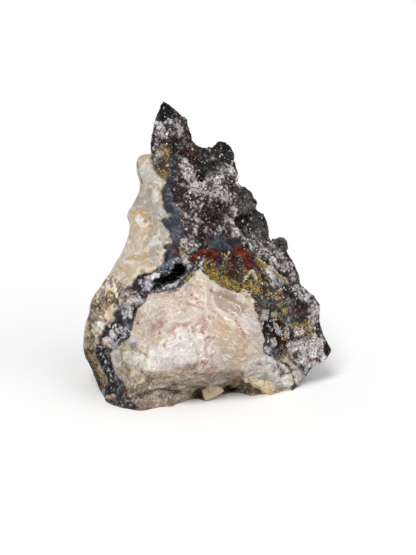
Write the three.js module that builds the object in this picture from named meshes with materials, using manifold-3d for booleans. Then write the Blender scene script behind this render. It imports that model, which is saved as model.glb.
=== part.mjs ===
// Manganese quartz specimen: one broken lump of vein rock, standing on its broken base.
// Milky quartz and calcite form the lower front and the left edge, and a dark crust of
// small manganese-stained quartz crystals covers the upper right. Everything grew
// together, so the specimen is one closed solid: the lump, the crystal knobs joined to
// it, the open vug cut into its front, and the flat broken base.
// Millimetres, +Z up, front towards -Y, origin under the middle of the lump.
import * as THREE from 'three';
import { mergeVertices } from 'three/addons/utils/BufferGeometryUtils.js';
import Module from 'manifold-3d';

// ---- driving dimensions ------------------------------------------------------------
const UNIT = 0.325;            // mm per unit of the front elevation sheet
const SHEET = [208, 277.5];    // middle of the sheet; sheet x runs right, sheet y runs down
const EYE_DISTANCE = 600;      // the sheet is a perspective elevation from this far, mm
const EYE_ELEVATION = 15;      // degrees above the horizontal
const AXIS_HEIGHT = 38.17;     // height of the view axis over the middle of the base, mm
const HUB = [205, 300];        // sheet point that the outline is star-shaped about
const COLUMNS = 192;           // points round the outline
const FRONT_ROWS = 17;         // rings from the front pole to the outline
const BACK_ROWS = 12;          // rings from the outline to the back pole
const SKIRT = 16;              // how far the lump runs on below its broken base, sheet units
const VUG_DEPTH = 7;           // depth of the open vug, mm

// Outline on the sheet, clockwise from the tip of the spike, down to the ends of the base.
const OUTLINE = [
  165.5,103, 168,105, 171,107, 174,109, 178,112.5, 181,115.5, 186.5,118, 187,122, 188,127,
  189.5,131, 191,135, 190.5,137, 192,141, 195,145, 198,147, 201,148.5, 205,149, 209,148,
  212,148.3, 214.5,147, 217,144, 219,141.5, 221,141, 224,142.5, 227,145, 230,147.5, 232,150,
  233.5,153.5, 233.5,157, 233,161, 235,165, 237,170, 237,175, 237.5,179, 237,182, 238,184.5,
  241,186.5, 245,188, 249,191, 252,194.5, 253,198, 255,199.5, 256.5,202.5, 255.5,204.5,
  254,206.5, 256,209.5, 258.5,212.5, 261,213, 264,215.5, 265,219, 267,223, 268,227, 269,232,
  268.5,237, 270,241, 273,242.5, 274.5,241, 277,239, 280.5,237.7, 284,239, 286.5,241,
  287,244, 287.5,248, 286,250.5, 287,253, 289,256, 291,259, 293,262, 295,266, 296,270,
  298,274, 299,278, 299.5,283, 301,286, 305,289, 309,293, 313,296, 316,300, 318,303.5,
  319,308, 319,315, 319,322, 321,328, 323,334, 325,339, 328,343, 330,347, 331,350.5,
  330,354, 326,358, 322,362, 317,365, 312,367.5, 309,371, 305,374.5, 302,378, 301,382,
  299,386, 297,390, 295,391.5, 292,392, 288,391, 284,390, 281,389.5, 278,390, 275,392,
  273,395, 268,394.5, 262,394.3, 256,395.5, 251,396, 246,394.5, 240,393, 234,392,
  228,391.3, 225,392, 222,394.5, 217,396.5, 213,398, 208,400.5, 205,401.5, 204,400,
  202.5,396, 201.5,392.5, 197,394, 194,396, 190,399, 188,400, 182,402.5, 176,404.5,
  170,407, 163,407, 155,408.5, 148,410, 142,411, 135,410.5, 127,409, 120,408, 113,406.5,
  109,405, 106,402, 103,396, 100,390, 97.5,383, 94.5,376, 91,368, 88,361, 85,355,
  83.8,350, 84,342, 84.5,334, 85.5,327, 87,321, 88.5,316, 90.5,311, 90,308, 91,303,
  92.5,299, 96,293, 100,288, 104,281, 109,274, 113,268, 116,262, 120,256, 122,252,
  124,248, 126,242, 128,237, 129,232, 129.5,225, 128.5,221, 127,217, 127.5,214, 129,210,
  132,206, 134,202, 137,196, 138,195, 139.5,190, 140,184, 139,179, 137,173, 136.5,168,
  136.5,163, 138,158, 141,155.5, 145,154.5, 150,154.5, 152,153, 151,149, 151,144, 152,138,
  153,133, 154,127, 154.5,122, 156.5,117, 158,113, 160,109, 161,104.5,
];

// Front face: sheet x, sheet y, depth of the surface as world y in mm.
const FRONT = [
  165,103,2,  170,115,-1,  162,125,-2,  178,125,0,  170,140,-4,  185,138,0,  170,160,-6,  145,168,-3,
  158,175,-6, 145,190,-5,  200,160,0,   222,155,3,   200,175,-5,  222,178,-2,  200,190,-7,  170,200,-9,
  150,205,-8, 185,215,-9,  230,200,-3,  246,200,4,   200,228,-12, 170,235,-12, 145,240,-11, 138,225,-7,
  222,218,-9, 245,222,2,   260,235,3,   240,238,-5,  220,250,-13, 250,255,-9,  275,262,0,   280,244,6,
  185,256,-14, 168,262,-13, 152,272,-14, 130,265,-11, 118,278,-9,  140,286,-14, 186,272,-15,
  165,291,-19, 180,284,-18, 197,274,-19, 212,284,-19, 232,283,-14, 222,268,-13, 255,283,-13, 280,280,-3,
  240,300,-19, 262,305,-15, 250,316,-21, 190,305,-24, 160,306,-23, 220,318,-25, 248,330,-24, 205,340,-27,
  165,340,-27, 235,348,-25, 138,325,-20, 133,345,-21, 118,366,-20, 150,368,-27, 200,366,-26, 240,368,-20,
  257,350,-20, 268,330,-13, 285,310,-8,  305,305,0,  300,330,-5,  315,335,0,   322,350,4,   290,350,-9,
  272,368,-12, 258,384,-8, 288,380,-6,  118,305,-14, 105,300,-7, 115,325,-14, 98,325,-6, 95,345,-7,
  105,365,-11, 112,388,-15, 125,395,-20, 165,390,-20, 200,382,-18, 130,383,-23, 230,384,-5,
  188,390,-17, 210,391,-13.5,
];

// Back face: the planes it broke along. Depth at the hub in mm, then its slope in mm per
// sheet unit to the right and downwards. The nearest plane is the face.
const BACK = [
  26,0.00,0.02,   27,0.02,0.10,   31,0.16,-0.01,  30,-0.13,0.00,  25,0.12,0.06,
  30,-0.10,0.07,  24,-0.09,-0.03, 25.5,0.05,-0.035,
];

// Depth of the outline itself, by bearing round the hub: degrees, world y in mm.
const RIM = [
  0,7,  20,6.5,  37,6,  50,6,  62,6,  72,5,  82,4.5,  95,3.5,  103,2.5,  112,3,  125,3,
  140,2,  155,2,  168,3,  180,3,  195,2,  210,1,  222,0,  240,1,  270,3,  300,5,
  325,7,  340,7,  360,7,
];

// Blunt six-sided crystals grown out of the crust: sheet x, sheet y, radius in mm, then
// the way each one points, as turns about the vertical and up from level in degrees.
const CRYSTALS = [
  279.5,245,2.3,35,25,    264,222,1.9,50,40,   252,202,2.3,40,45,   223,150.5,2.4,15,65,
  207,156,2.2,-10,55,     196,154,1.6,10,80,   166,110,1.6,-20,75,  180,122,1.6,60,60,
  234,172,1.7,70,30,      291,268,1.8,60,35,   313,304,1.9,55,30,   325,350,1.9,80,5,
  297,286,1.8,20,40,      246,213,1.8,10,30,   212,163,1.9,-15,30,  229,196,1.5,-5,45,
  305,350,2.0,10,20,      258,246,1.7,15,50,   144,166,2.1,-60,50,  101,352,2.0,-50,10,
  113,384,2.0,-25,15,     182,160,1.4,-10,40,  190,205,1.5,15,25,   212,386,2.2,5,-35,
  237,182,1.5,60,50,      243,190,1.6,35,60,   269,236,1.5,80,40,   301,290,1.5,75,50,
  318,318,1.6,85,15,      288,256,1.4,70,55,   268,338,1.5,-5,25,   276,326,1.3,20,35,
  312,357,1.7,30,-5,      296,372,1.8,25,-20,  160,120,1.4,-40,60,  171,116,1.5,20,65,
];

// The vug: blunt lobes that overlap along its winding mouth: sheet x, y, half sizes in mm.
const VUG = [
  158,284,2.0,1.1,  165,281,2.3,1.5,  172,276,2.6,1.9,  178,271,2.4,2.1,  181,266,1.5,1.2,
];

// ---- the sheet's projection --------------------------------------------------------
const SIN = Math.sin(EYE_ELEVATION * Math.PI / 180);
const COS = Math.cos(EYE_ELEVATION * Math.PI / 180);
// The point that a sheet position shows when its depth is the given world y.
function place(sx, sy, y) {
  const u = (sx - SHEET[0]) * UNIT, v = (SHEET[1] - sy) * UNIT;
  const w = (v * SIN - y) / (COS + v * SIN / EYE_DISTANCE);
  const s = 1 - w / EYE_DISTANCE;
  return new THREE.Vector3(s * u, -w * COS + s * v * SIN, AXIS_HEIGHT + w * SIN + s * v * COS);
}

// The depth at which a sheet position shows the level of the base.
function depthAtBase(sx, sy) {
  const v = (SHEET[1] - sy) * UNIT;
  const w = -(AXIS_HEIGHT + v * COS) / (SIN - v * COS / EYE_DISTANCE);
  return -w * COS + (1 - w / EYE_DISTANCE) * v * SIN;
}

// ---- smooth surfaces through scattered depths --------------------------------------
function surface(table, soft) {
  const n = table.length / 3, m = n + 3;
  const px = [], py = [], A = [];
  for (let i = 0; i < n; i++) { px.push(table[3 * i]); py.push(table[3 * i + 1]); }
  const phi = (dx, dy) => -Math.sqrt(dx * dx + dy * dy + soft * soft);
  for (let i = 0; i < m; i++) A.push(new Float64Array(m + 1));
  for (let i = 0; i < n; i++) {
    for (let j = 0; j < n; j++) A[i][j] = phi(px[i] - px[j], py[i] - py[j]);
    A[i][i] += 0.4;   // eases the surface between the given depths
    A[i][n] = A[n][i] = 1;
    A[i][n + 1] = A[n + 1][i] = px[i] / 100;
    A[i][n + 2] = A[n + 2][i] = py[i] / 100;
    A[i][m] = table[3 * i + 2];
  }
  for (let c = 0; c < m; c++) {
    let p = c;
    for (let r = c + 1; r < m; r++) if (Math.abs(A[r][c]) > Math.abs(A[p][c])) p = r;
    [A[c], A[p]] = [A[p], A[c]];
    for (let r = 0; r < m; r++) {
      if (r === c) continue;
      const f = A[r][c] / A[c][c];
      if (f !== 0) for (let k = c; k <= m; k++) A[r][k] -= f * A[c][k];
    }
  }
  const w = A.map((row, i) => row[m] / row[i]);
  return (x, y) => {
    let d = w[n] + w[n + 1] * x / 100 + w[n + 2] * y / 100;
    for (let i = 0; i < n; i++) d += w[i] * phi(x - px[i], y - py[i]);
    return d;
  };
}

// The back face: its nearest plane, with the edges between planes slightly worn.
function backDepth(sx, sy) {
  let sum = 0;
  for (let i = 0; i < BACK.length; i += 3) {
    sum += Math.exp(-(BACK[i] + BACK[i + 1] * (sx - HUB[0]) + BACK[i + 2] * (sy - HUB[1])) / 0.5);
  }
  return -0.5 * Math.log(sum);
}

// ---- broken-rock roughness: smooth value noise, the same every time ------------------
function lattice(i, j, k) {
  let h = (i * 374761393 + j * 668265263 + k * 2147483647) | 0;
  h = Math.imul(h ^ (h >>> 13), 1274126177);
  h = Math.imul(h ^ (h >>> 16), 2246822519);
  return ((h ^ (h >>> 15)) >>> 0) / 4294967295 * 2 - 1;
}
function noise(x, y, z) {
  const i = Math.floor(x), j = Math.floor(y), k = Math.floor(z);
  const s = (t) => t * t * (3 - 2 * t);
  const a = s(x - i), b = s(y - j), c = s(z - k);
  const mix = (p, q, t) => p + (q - p) * t;
  const row = (jj, kk) => mix(lattice(i, jj, kk), lattice(i + 1, jj, kk), a);
  return mix(mix(row(j, k), row(j + 1, k), b), mix(row(j, k + 1), row(j + 1, k + 1), b), c);
}
const rough = (x, y, z, size) =>
  noise(x / size, y / size, z / size) + 0.5 * noise(x / size * 2.1 + 7, y / size * 2.1, z / size * 2.1 + 3);

// ---- outline as a radius round the hub ---------------------------------------------
function outlineRadius(deg) {
  const a = deg * Math.PI / 180, dx = Math.cos(a), dy = -Math.sin(a);
  let best = 0;
  for (let i = 0; i < OUTLINE.length; i += 2) {
    const j = (i + 2) % OUTLINE.length;
    const ax = OUTLINE[i] - HUB[0], ay = OUTLINE[i + 1] - HUB[1];
    const ex = OUTLINE[j] - HUB[0] - ax, ey = OUTLINE[j + 1] - HUB[1] - ay;
    const det = ex * dy - ey * dx;
    if (Math.abs(det) < 1e-12) continue;
    const t = (ay * dx - ax * dy) / det;         // along the edge
    const r = (ex * ay - ey * ax) / det;         // along the bearing
    if (t >= -1e-9 && t <= 1 + 1e-9 && r > best) best = r;
  }
  return best;
}
const smooth = (t) => { t = Math.min(1, Math.max(0, t)); return t * t * (3 - 2 * t); };
// 1 over the bearings where the lump runs on below its base, 0 elsewhere.
const below = (deg) => smooth((deg - 227) / 7) * smooth((316 - deg) / 7);
function rimDepth(deg) {
  for (let i = 0; i + 3 < RIM.length; i += 2) {
    if (deg <= RIM[i + 2]) {
      const t = smooth((deg - RIM[i]) / (RIM[i + 2] - RIM[i]));
      return RIM[i + 1] + (RIM[i + 3] - RIM[i + 1]) * t;
    }
  }
  return RIM[1];
}

// Bearings of the columns, spread evenly along the outline's length.
function bearings(count) {
  const step = 0.25, run = [0];
  let last = outlineRadius(0);
  for (let d = step; d <= 360; d += step) {
    const r = outlineRadius(d % 360);
    run.push(run[run.length - 1] + Math.hypot(r * step * Math.PI / 180, Math.min(3, Math.abs(r - last))));
    last = r;
  }
  const list = [];
  for (let c = 0, i = 0; c < count; c++) {
    const want = run[run.length - 1] * c / count;
    while (run[i + 1] < want) i++;
    list.push((i + (want - run[i]) / (run[i + 1] - run[i])) * step);
  }
  return list;
}

// ---- the lump ----------------------------------------------------------------------
// A sphere whose poles face front and back is drawn out to the outline. Rings near a
// pole share points, so its triangles keep an even size.
// The front face meets the level base along the bottom of the outline.
const feet = [];
for (let i = 0; i < OUTLINE.length; i += 2) {
  const [x, y] = [OUTLINE[i], OUTLINE[i + 1]];
  if (y > 388 && x >= 109 && x <= 295) feet.push(x, y, depthAtBase(x, y));
}
const frontDepth = surface([...FRONT, ...feet], 3);
const COL = bearings(COLUMNS).map((deg) => {
  const under = below(deg), edge = outlineRadius(deg);
  const rim = rimDepth(deg) + 1.7 * noise(deg / 9, 3, 5) + 0.9 * noise(deg / 4, 8, 1);
  return { deg, under, edge, reach: edge + SKIRT * under, rim };
});
const ROWS = FRONT_ROWS + BACK_ROWS;
function groupOf(row) {
  const fromPole = Math.min(row / FRONT_ROWS, (ROWS - row) / BACK_ROWS);
  return fromPole < 0.07 ? 32 : fromPole < 0.13 ? 16 : fromPole < 0.2 ? 8 : fromPole < 0.34 ? 4 : fromPole < 0.62 ? 2 : 1;
}
const bulgeOf = (front, under) => front ? 4.2 + 17 * under : 4.2 + 4 * under;
// How far the surface has come from the outline's depth to its full depth, 0 to 1.
const swell = (rho, bulge) => Math.pow(Math.max(0, 1 - Math.pow(rho, bulge)), 1 / bulge);
function lumpPoint(row, col) {
  const front = row <= FRONT_ROWS;
  const t = front ? row / FRONT_ROWS : (ROWS - row) / BACK_ROWS;
  const c = COL[col % COLUMNS];
  const rho = Math.sin(Math.pow(t, 0.9) * Math.PI / 2);
  const a = c.deg * Math.PI / 180;
  const r = rho * c.reach;
  let sx = HUB[0] + r * Math.cos(a), sy = HUB[1] - r * Math.sin(a);
  if (t > 0 && t < 0.93) {                        // break up the rings
    sx += 1.6 * lattice(row, col, 11);
    sy += 1.6 * lattice(row, col, 12);
  }
  const h = swell(rho, bulgeOf(front, c.under));
  const depth = front ? frontDepth(sx, sy) : backDepth(sx, sy);
  let y = c.rim + (depth - c.rim) * h;
  const p = place(sx, sy, y);
  y += h * (front ? 0.55 * rough(p.x, p.y, p.z, 5) : 1.3 * rough(p.x, p.y, p.z, 13) + 0.5 * rough(p.x, p.y, p.z, 5));
  return place(sx, sy, y);
}
// The front face's depth behind a sheet point.
function faceAt(sx, sy) {
  const dx = sx - HUB[0], dy = HUB[1] - sy;
  const deg = (Math.atan2(dy, dx) * 180 / Math.PI + 360) % 360;
  const under = below(deg);
  const rho = Math.min(1, Math.hypot(dx, dy) / (outlineRadius(deg) + SKIRT * under));
  const rim = rimDepth(deg);
  return rim + (frontDepth(sx, sy) - rim) * swell(rho, bulgeOf(true, under));
}
function lump() {
  const geometry = new THREE.SphereGeometry(1, COLUMNS, ROWS);
  const position = geometry.getAttribute('position');
  for (let row = 0, i = 0; row <= ROWS; row++) {
    const group = row === 0 || row === ROWS ? COLUMNS : groupOf(row);
    for (let col = 0; col <= COLUMNS; col++, i++) {
      const shared = Math.floor((col % COLUMNS) / group) * group;
      const p = lumpPoint(row, shared);
      position.setXYZ(i, p.x, p.y, p.z);
    }
  }
  return geometry;
}

// ---- solids and the joins and cuts between them ---------------------------------------
const wasm = await Module();
wasm.setup();
function solid(geometry) {
  const g = geometry.clone();
  g.deleteAttribute('normal');
  g.deleteAttribute('uv');
  const merged = mergeVertices(g, 1e-4);
  const index = merged.getIndex().array, keep = [];
  for (let i = 0; i < index.length; i += 3) {
    const [a, b, c] = [index[i], index[i + 1], index[i + 2]];
    if (a !== b && b !== c && c !== a) keep.push(a, b, c);
  }
  const vertProperties = new Float32Array(merged.getAttribute('position').array);
  let made = new wasm.Manifold(new wasm.Mesh({ numProp: 3, vertProperties, triVerts: new Uint32Array(keep) }));
  return made;
}
function blob(centre, rx, ry, rz, seed, detail, roughness) {
  const g = new THREE.IcosahedronGeometry(1, detail);
  const p = g.getAttribute('position'), v = new THREE.Vector3();
  for (let i = 0; i < p.count; i++) {
    v.fromBufferAttribute(p, i).normalize();
    const s = 1 + roughness * noise(v.x * 1.7 + seed * 3.1, v.y * 1.7 + seed, v.z * 1.7 - seed * 1.3);
    p.setXYZ(i, centre.x + v.x * rx * s, centre.y + v.y * ry * s, centre.z + v.z * rz * s);
  }
  return g;
}

// A six-sided prism with a blunt pyramid on it, from inside the crust at its root.
function crystal(root, way, r) {
  const g = new THREE.LatheGeometry([
    new THREE.Vector2(0, -1.2 * r), new THREE.Vector2(0.8 * r, -1.2 * r), new THREE.Vector2(r, 0.35 * r),
    new THREE.Vector2(0.3 * r, 1.05 * r), new THREE.Vector2(0, 1.15 * r),
  ], 6);
  g.applyQuaternion(new THREE.Quaternion().setFromUnitVectors(new THREE.Vector3(0, 1, 0), way));
  g.translate(root.x, root.y, root.z);
  return g;
}

let rock = solid(lump());
for (let i = 0; i < CRYSTALS.length; i += 5) {
  const [sx, sy, r, turn, up] = CRYSTALS.slice(i, i + 5);
  const a = turn * Math.PI / 180, b = up * Math.PI / 180;
  const way = new THREE.Vector3(Math.sin(a) * Math.cos(b), -Math.cos(a) * Math.cos(b), Math.sin(b));
  const root = place(sx, sy, faceAt(sx, sy) + 0.5 * r);
  rock = rock.add(solid(crystal(root, way, r)));
}
for (let i = 0; i < VUG.length; i += 4) {
  const mouth = place(VUG[i], VUG[i + 1], faceAt(VUG[i], VUG[i + 1]) + 1.5);
  rock = rock.subtract(solid(blob(mouth, VUG[i + 2], VUG_DEPTH - 1.5, VUG[i + 3], 40 + i, 2, 0.18)));
}
// the broken base is level, and everything stands above it
const above = new THREE.BoxGeometry(300, 300, 300);
above.translate(0, 0, 150);
rock = rock.intersect(solid(above));

// ---- the finished lump, moved over its origin ----------------------------------------
const mesh = rock.getMesh();
const geometry = new THREE.BufferGeometry();
const xyz = new Float32Array(mesh.vertProperties.length / mesh.numProp * 3);
for (let i = 0; i < xyz.length / 3; i++) {
  for (let k = 0; k < 3; k++) xyz[3 * i + k] = mesh.vertProperties[i * mesh.numProp + k];
}
geometry.setAttribute('position', new THREE.BufferAttribute(xyz, 3));
geometry.setIndex(new THREE.BufferAttribute(new Uint32Array(mesh.triVerts), 1));
geometry.computeBoundingBox();
const box = geometry.boundingBox;
geometry.translate(-(box.min.x + box.max.x) / 2, -(box.min.y + box.max.y) / 2, -box.min.z);

const rockMaterial = new THREE.MeshStandardMaterial({ color: 0xb9aca1, roughness: 0.75, metalness: 0, flatShading: true });
const quartzRock = new THREE.Mesh(geometry, rockMaterial);
quartzRock.name = 'quartz_rock';

const specimen = new THREE.Group();
specimen.add(quartzRock);
export default specimen;
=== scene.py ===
import bpy
import math
import numpy as np
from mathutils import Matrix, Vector, kdtree


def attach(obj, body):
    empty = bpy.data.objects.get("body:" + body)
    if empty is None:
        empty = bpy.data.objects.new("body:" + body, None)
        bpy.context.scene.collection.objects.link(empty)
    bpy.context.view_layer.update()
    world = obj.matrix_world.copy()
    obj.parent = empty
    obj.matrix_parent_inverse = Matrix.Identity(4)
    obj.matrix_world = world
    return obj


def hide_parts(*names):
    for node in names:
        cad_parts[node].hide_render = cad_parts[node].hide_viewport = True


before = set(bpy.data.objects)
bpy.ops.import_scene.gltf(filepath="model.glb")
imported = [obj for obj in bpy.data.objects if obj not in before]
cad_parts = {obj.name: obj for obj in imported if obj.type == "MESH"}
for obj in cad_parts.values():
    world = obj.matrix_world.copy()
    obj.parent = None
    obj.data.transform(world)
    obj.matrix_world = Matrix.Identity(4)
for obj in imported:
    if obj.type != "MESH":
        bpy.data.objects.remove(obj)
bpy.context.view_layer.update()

# =====================================================================================
# The same elevation sheet as the solid: one unit is 0.325 mm, seen from 600 mm away and
# 15 degrees up. SHIFT is how far the solid was moved to stand over its origin.
# =====================================================================================
UNIT = 0.325
SHEET = (208.0, 277.5)
EYE_D = 600.0
ELEV = math.radians(15.0)
AXIS_H = 38.17
HUB = (205.0, 300.0)
SKIRT = 16.0
SHIFT = np.array([0.0729, 1.9442, 0.0])
SE, CE = math.sin(ELEV), math.cos(ELEV)
FWD = np.array([0.0, CE, -SE])
UPV = np.array([0.0, SE, CE])
RIGHT = np.array([1.0, 0.0, 0.0])
TARGET = np.array([0.0, 0.0, AXIS_H]) + SHIFT
EYE = TARGET - EYE_D * FWD


def place(sx, sy, y):
    """Sheet position and depth (world y before SHIFT, mm) to a point, mm."""
    u = (sx - SHEET[0]) * UNIT
    v = (SHEET[1] - sy) * UNIT
    w = (v * SE - y) / (CE + v * SE / EYE_D)
    s = 1 - w / EYE_D
    return np.stack([s * u, -w * CE + s * v * SE, AXIS_H + w * SE + s * v * CE], -1) + SHIFT


def sheet_of(p):
    """Where a point (mm) shows on the sheet."""
    d = p - EYE
    t = d @ FWD
    return SHEET[0] + (d @ RIGHT) * EYE_D / t / UNIT, SHEET[1] - (d @ UPV) * EYE_D / t / UNIT


OUTLINE = np.array([
    165.5,103, 168,105, 171,107, 174,109, 178,112.5, 181,115.5, 186.5,118, 187,122, 188,127,
    189.5,131, 191,135, 190.5,137, 192,141, 195,145, 198,147, 201,148.5, 205,149, 209,148,
    212,148.3, 214.5,147, 217,144, 219,141.5, 221,141, 224,142.5, 227,145, 230,147.5, 232,150,
    233.5,153.5, 233.5,157, 233,161, 235,165, 237,170, 237,175, 237.5,179, 237,182, 238,184.5,
    241,186.5, 245,188, 249,191, 252,194.5, 253,198, 255,199.5, 256.5,202.5, 255.5,204.5,
    254,206.5, 256,209.5, 258.5,212.5, 261,213, 264,215.5, 265,219, 267,223, 268,227, 269,232,
    268.5,237, 270,241, 273,242.5, 274.5,241, 277,239, 280.5,237.7, 284,239, 286.5,241,
    287,244, 287.5,248, 286,250.5, 287,253, 289,256, 291,259, 293,262, 295,266, 296,270,
    298,274, 299,278, 299.5,283, 301,286, 305,289, 309,293, 313,296, 316,300, 318,303.5,
    319,308, 319,315, 319,322, 321,328, 323,334, 325,339, 328,343, 330,347, 331,350.5,
    330,354, 326,358, 322,362, 317,365, 312,367.5, 309,371, 305,374.5, 302,378, 301,382,
    299,386, 297,390, 295,391.5, 292,392, 288,391, 284,390, 281,389.5, 278,390, 275,392,
    273,395, 268,394.5, 262,394.3, 256,395.5, 251,396, 246,394.5, 240,393, 234,392,
    228,391.3, 225,392, 222,394.5, 217,396.5, 213,398, 208,400.5, 205,401.5, 204,400,
    202.5,396, 201.5,392.5, 197,394, 194,396, 190,399, 188,400, 182,402.5, 176,404.5,
    170,407, 163,407, 155,408.5, 148,410, 142,411, 135,410.5, 127,409, 120,408, 113,406.5,
    109,405, 106,402, 103,396, 100,390, 97.5,383, 94.5,376, 91,368, 88,361, 85,355,
    83.8,350, 84,342, 84.5,334, 85.5,327, 87,321, 88.5,316, 90.5,311, 90,308, 91,303,
    92.5,299, 96,293, 100,288, 104,281, 109,274, 113,268, 116,262, 120,256, 122,252,
    124,248, 126,242, 128,237, 129,232, 129.5,225, 128.5,221, 127,217, 127.5,214, 129,210,
    132,206, 134,202, 137,196, 138,195, 139.5,190, 140,184, 139,179, 137,173, 136.5,168,
    136.5,163, 138,158, 141,155.5, 145,154.5, 150,154.5, 152,153, 151,149, 151,144, 152,138,
    153,133, 154,127, 154.5,122, 156.5,117, 158,113, 160,109, 161,104.5,
]).reshape(-1, 2)

# depth of the front face: sheet x, sheet y, world y in mm
FRONT = np.array([
    165,103,2,  170,115,-1,  162,125,-2,  178,125,0,  170,140,-4,  185,138,0,  170,160,-6,  145,168,-3,
    158,175,-6, 145,190,-5,  200,160,0,   222,155,3,   200,175,-5,  222,178,-2,  200,190,-7,  170,200,-9,
    150,205,-8, 185,215,-9,  230,200,-3,  246,200,4,   200,228,-12, 170,235,-12, 145,240,-11, 138,225,-7,
    222,218,-9, 245,222,2,   260,235,3,   240,238,-5,  220,250,-13, 250,255,-9,  275,262,0,   280,244,6,
    185,256,-14, 168,262,-13, 152,272,-14, 130,265,-11, 118,278,-9,  140,286,-14, 186,272,-15,
    165,291,-19, 180,284,-18, 197,274,-19, 212,284,-19, 232,283,-14, 222,268,-13, 255,283,-13, 280,280,-3,
    240,300,-19, 262,305,-15, 250,316,-21, 190,305,-24, 160,306,-23, 220,318,-25, 248,330,-24, 205,340,-27,
    165,340,-27, 235,348,-25, 138,325,-20, 133,345,-21, 118,366,-20, 150,368,-27, 200,366,-26, 240,368,-20,
    257,350,-20, 268,330,-13, 285,310,-8,  305,305,0,  300,330,-5,  315,335,0,   322,350,4,   290,350,-9,
    272,368,-12, 258,384,-8, 288,380,-6,  118,305,-14, 105,300,-7, 115,325,-14, 98,325,-6, 95,345,-7,
    105,365,-11, 112,388,-15, 125,395,-20, 165,390,-20, 200,382,-18, 130,383,-23, 230,384,-5,
    188,390,-17, 210,391,-13.5,
], float).reshape(-1, 3)

# back face planes: depth at the hub, slope right, slope down (mm per unit)
BACK = np.array([
    26,0.00,0.02,   27,0.02,0.10,   31,0.16,-0.01,  30,-0.13,0.00,  25,0.12,0.06,
    30,-0.10,0.07,  24,-0.09,-0.03, 25.5,0.05,-0.035,
]).reshape(-1, 3)

RIM = np.array([
    0,7,  20,6.5,  37,6,  50,6,  62,6,  72,5,  82,4.5,  95,3.5,  103,2.5,  112,3,  125,3,
    140,2,  155,2,  168,3,  180,3,  195,2,  210,1,  222,0,  240,1,  270,3,  300,5,
    325,7,  340,7,  360,7,
], float).reshape(-1, 2)


# =====================================================================================
# Noise in numpy, the same every run
# =====================================================================================
def _hash(ix, iy, iz, seed):
    with np.errstate(over="ignore"):
        h = (ix.astype(np.uint32) * np.uint32(374761393)
             + iy.astype(np.uint32) * np.uint32(668265263)
             + iz.astype(np.uint32) * np.uint32(2246822519)
             + np.uint32((seed * 3266489917) & 0xFFFFFFFF))
        h = (h ^ (h >> np.uint32(13))) * np.uint32(1274126177)
        h = (h ^ (h >> np.uint32(16))) * np.uint32(2654435761)
        h = h ^ (h >> np.uint32(15))
    return h.astype(np.float64) / 4294967295.0


def vnoise(p, size, seed=0):
    """Smooth value noise, -1 to 1, over points p (n,3)."""
    q = p / size
    i = np.floor(q).astype(np.int64)
    f = q - i
    f = f * f * f * (f * (f * 6 - 15) + 10)
    out = np.zeros(len(p))
    for dx in (0, 1):
        wx = f[:, 0] if dx else 1 - f[:, 0]
        for dy in (0, 1):
            wy = f[:, 1] if dy else 1 - f[:, 1]
            for dz in (0, 1):
                wz = f[:, 2] if dz else 1 - f[:, 2]
                out += wx * wy * wz * _hash(i[:, 0] + dx, i[:, 1] + dy, i[:, 2] + dz, seed)
    return out * 2 - 1


def fbm(p, size, octaves=3, seed=0, gain=0.5):
    total, amp, norm = np.zeros(len(p)), 1.0, 0.0
    for k in range(octaves):
        total += amp * vnoise(p + 17.3 * k, size / 2 ** k, seed + 7 * k)
        norm += amp
        amp *= gain
    return total / norm


def facets(p, size, seed=0, tilt=0.5, curve=0.5, lift=0.25, ways=None):
    """Broken-stone relief: the highest of many tilted chips round each point. Returns (height, crease), both in units of size.
    crease is near 0 where two chips meet."""
    q = p / size
    i = np.floor(q).astype(np.int64)
    best = np.full(len(p), -1e9)
    second = np.full(len(p), -1e9)
    for dx in (-1, 0, 1):
        for dy in (-1, 0, 1):
            for dz in (-1, 0, 1):
                c = i + np.array([dx, dy, dz])
                r = [_hash(c[:, 0], c[:, 1], c[:, 2], seed + 100 * k) for k in range(7)]
                s = c + np.stack([r[0], r[1], r[2]], -1)
                d = q - s
                if ways is None:
                    g = np.stack([r[3], r[4], r[5]], -1) * 2 - 1
                else:
                    g = ways[np.minimum((r[3] * len(ways)).astype(int), len(ways) - 1)]
                h = lift * (r[6] - 0.5) + tilt * (g * d).sum(-1) - curve * (d * d).sum(-1)
                m = h > best
                second = np.where(m, best, np.maximum(second, h))
                best = np.where(m, h, best)
    return best, best - second


def smoothstep(a, b, x):
    t = np.clip((x - a) / (b - a), 0, 1)
    return t * t * (3 - 2 * t)


# =====================================================================================
# The lump's smooth surfaces
# =====================================================================================
def scattered(table, soft):
    n = len(table)
    xy = table[:, :2]
    phi = -np.sqrt(((xy[:, None] - xy[None]) ** 2).sum(-1) + soft * soft)
    a = np.zeros((n + 3, n + 3))
    a[:n, :n] = phi + 0.4 * np.eye(n)
    a[:n, n] = a[n, :n] = 1
    a[:n, n + 1:] = xy / 100
    a[n + 1:, :n] = xy.T / 100
    w = np.linalg.solve(a, np.concatenate([table[:, 2], np.zeros(3)]))

    def f(x, y):
        out = w[n] + w[n + 1] * x / 100 + w[n + 2] * y / 100
        for k in range(n):
            out = out - w[k] * np.sqrt((x - xy[k, 0]) ** 2 + (y - xy[k, 1]) ** 2 + soft * soft)
        return out
    return f


def depth_at_base(sx, sy):
    v = (SHEET[1] - sy) * UNIT
    w = -(AXIS_H + v * CE) / (SE - v * CE / EYE_D)
    return -w * CE + (1 - w / EYE_D) * v * SE


# the front face meets the level base along the bottom of the outline
_feet = OUTLINE[(OUTLINE[:, 1] > 388) & (OUTLINE[:, 0] >= 109) & (OUTLINE[:, 0] <= 295)]
_feet = np.concatenate([_feet, depth_at_base(_feet[:, 0], _feet[:, 1])[:, None]], 1)
front_depth = scattered(np.concatenate([FRONT, _feet]), 3.0)


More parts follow.
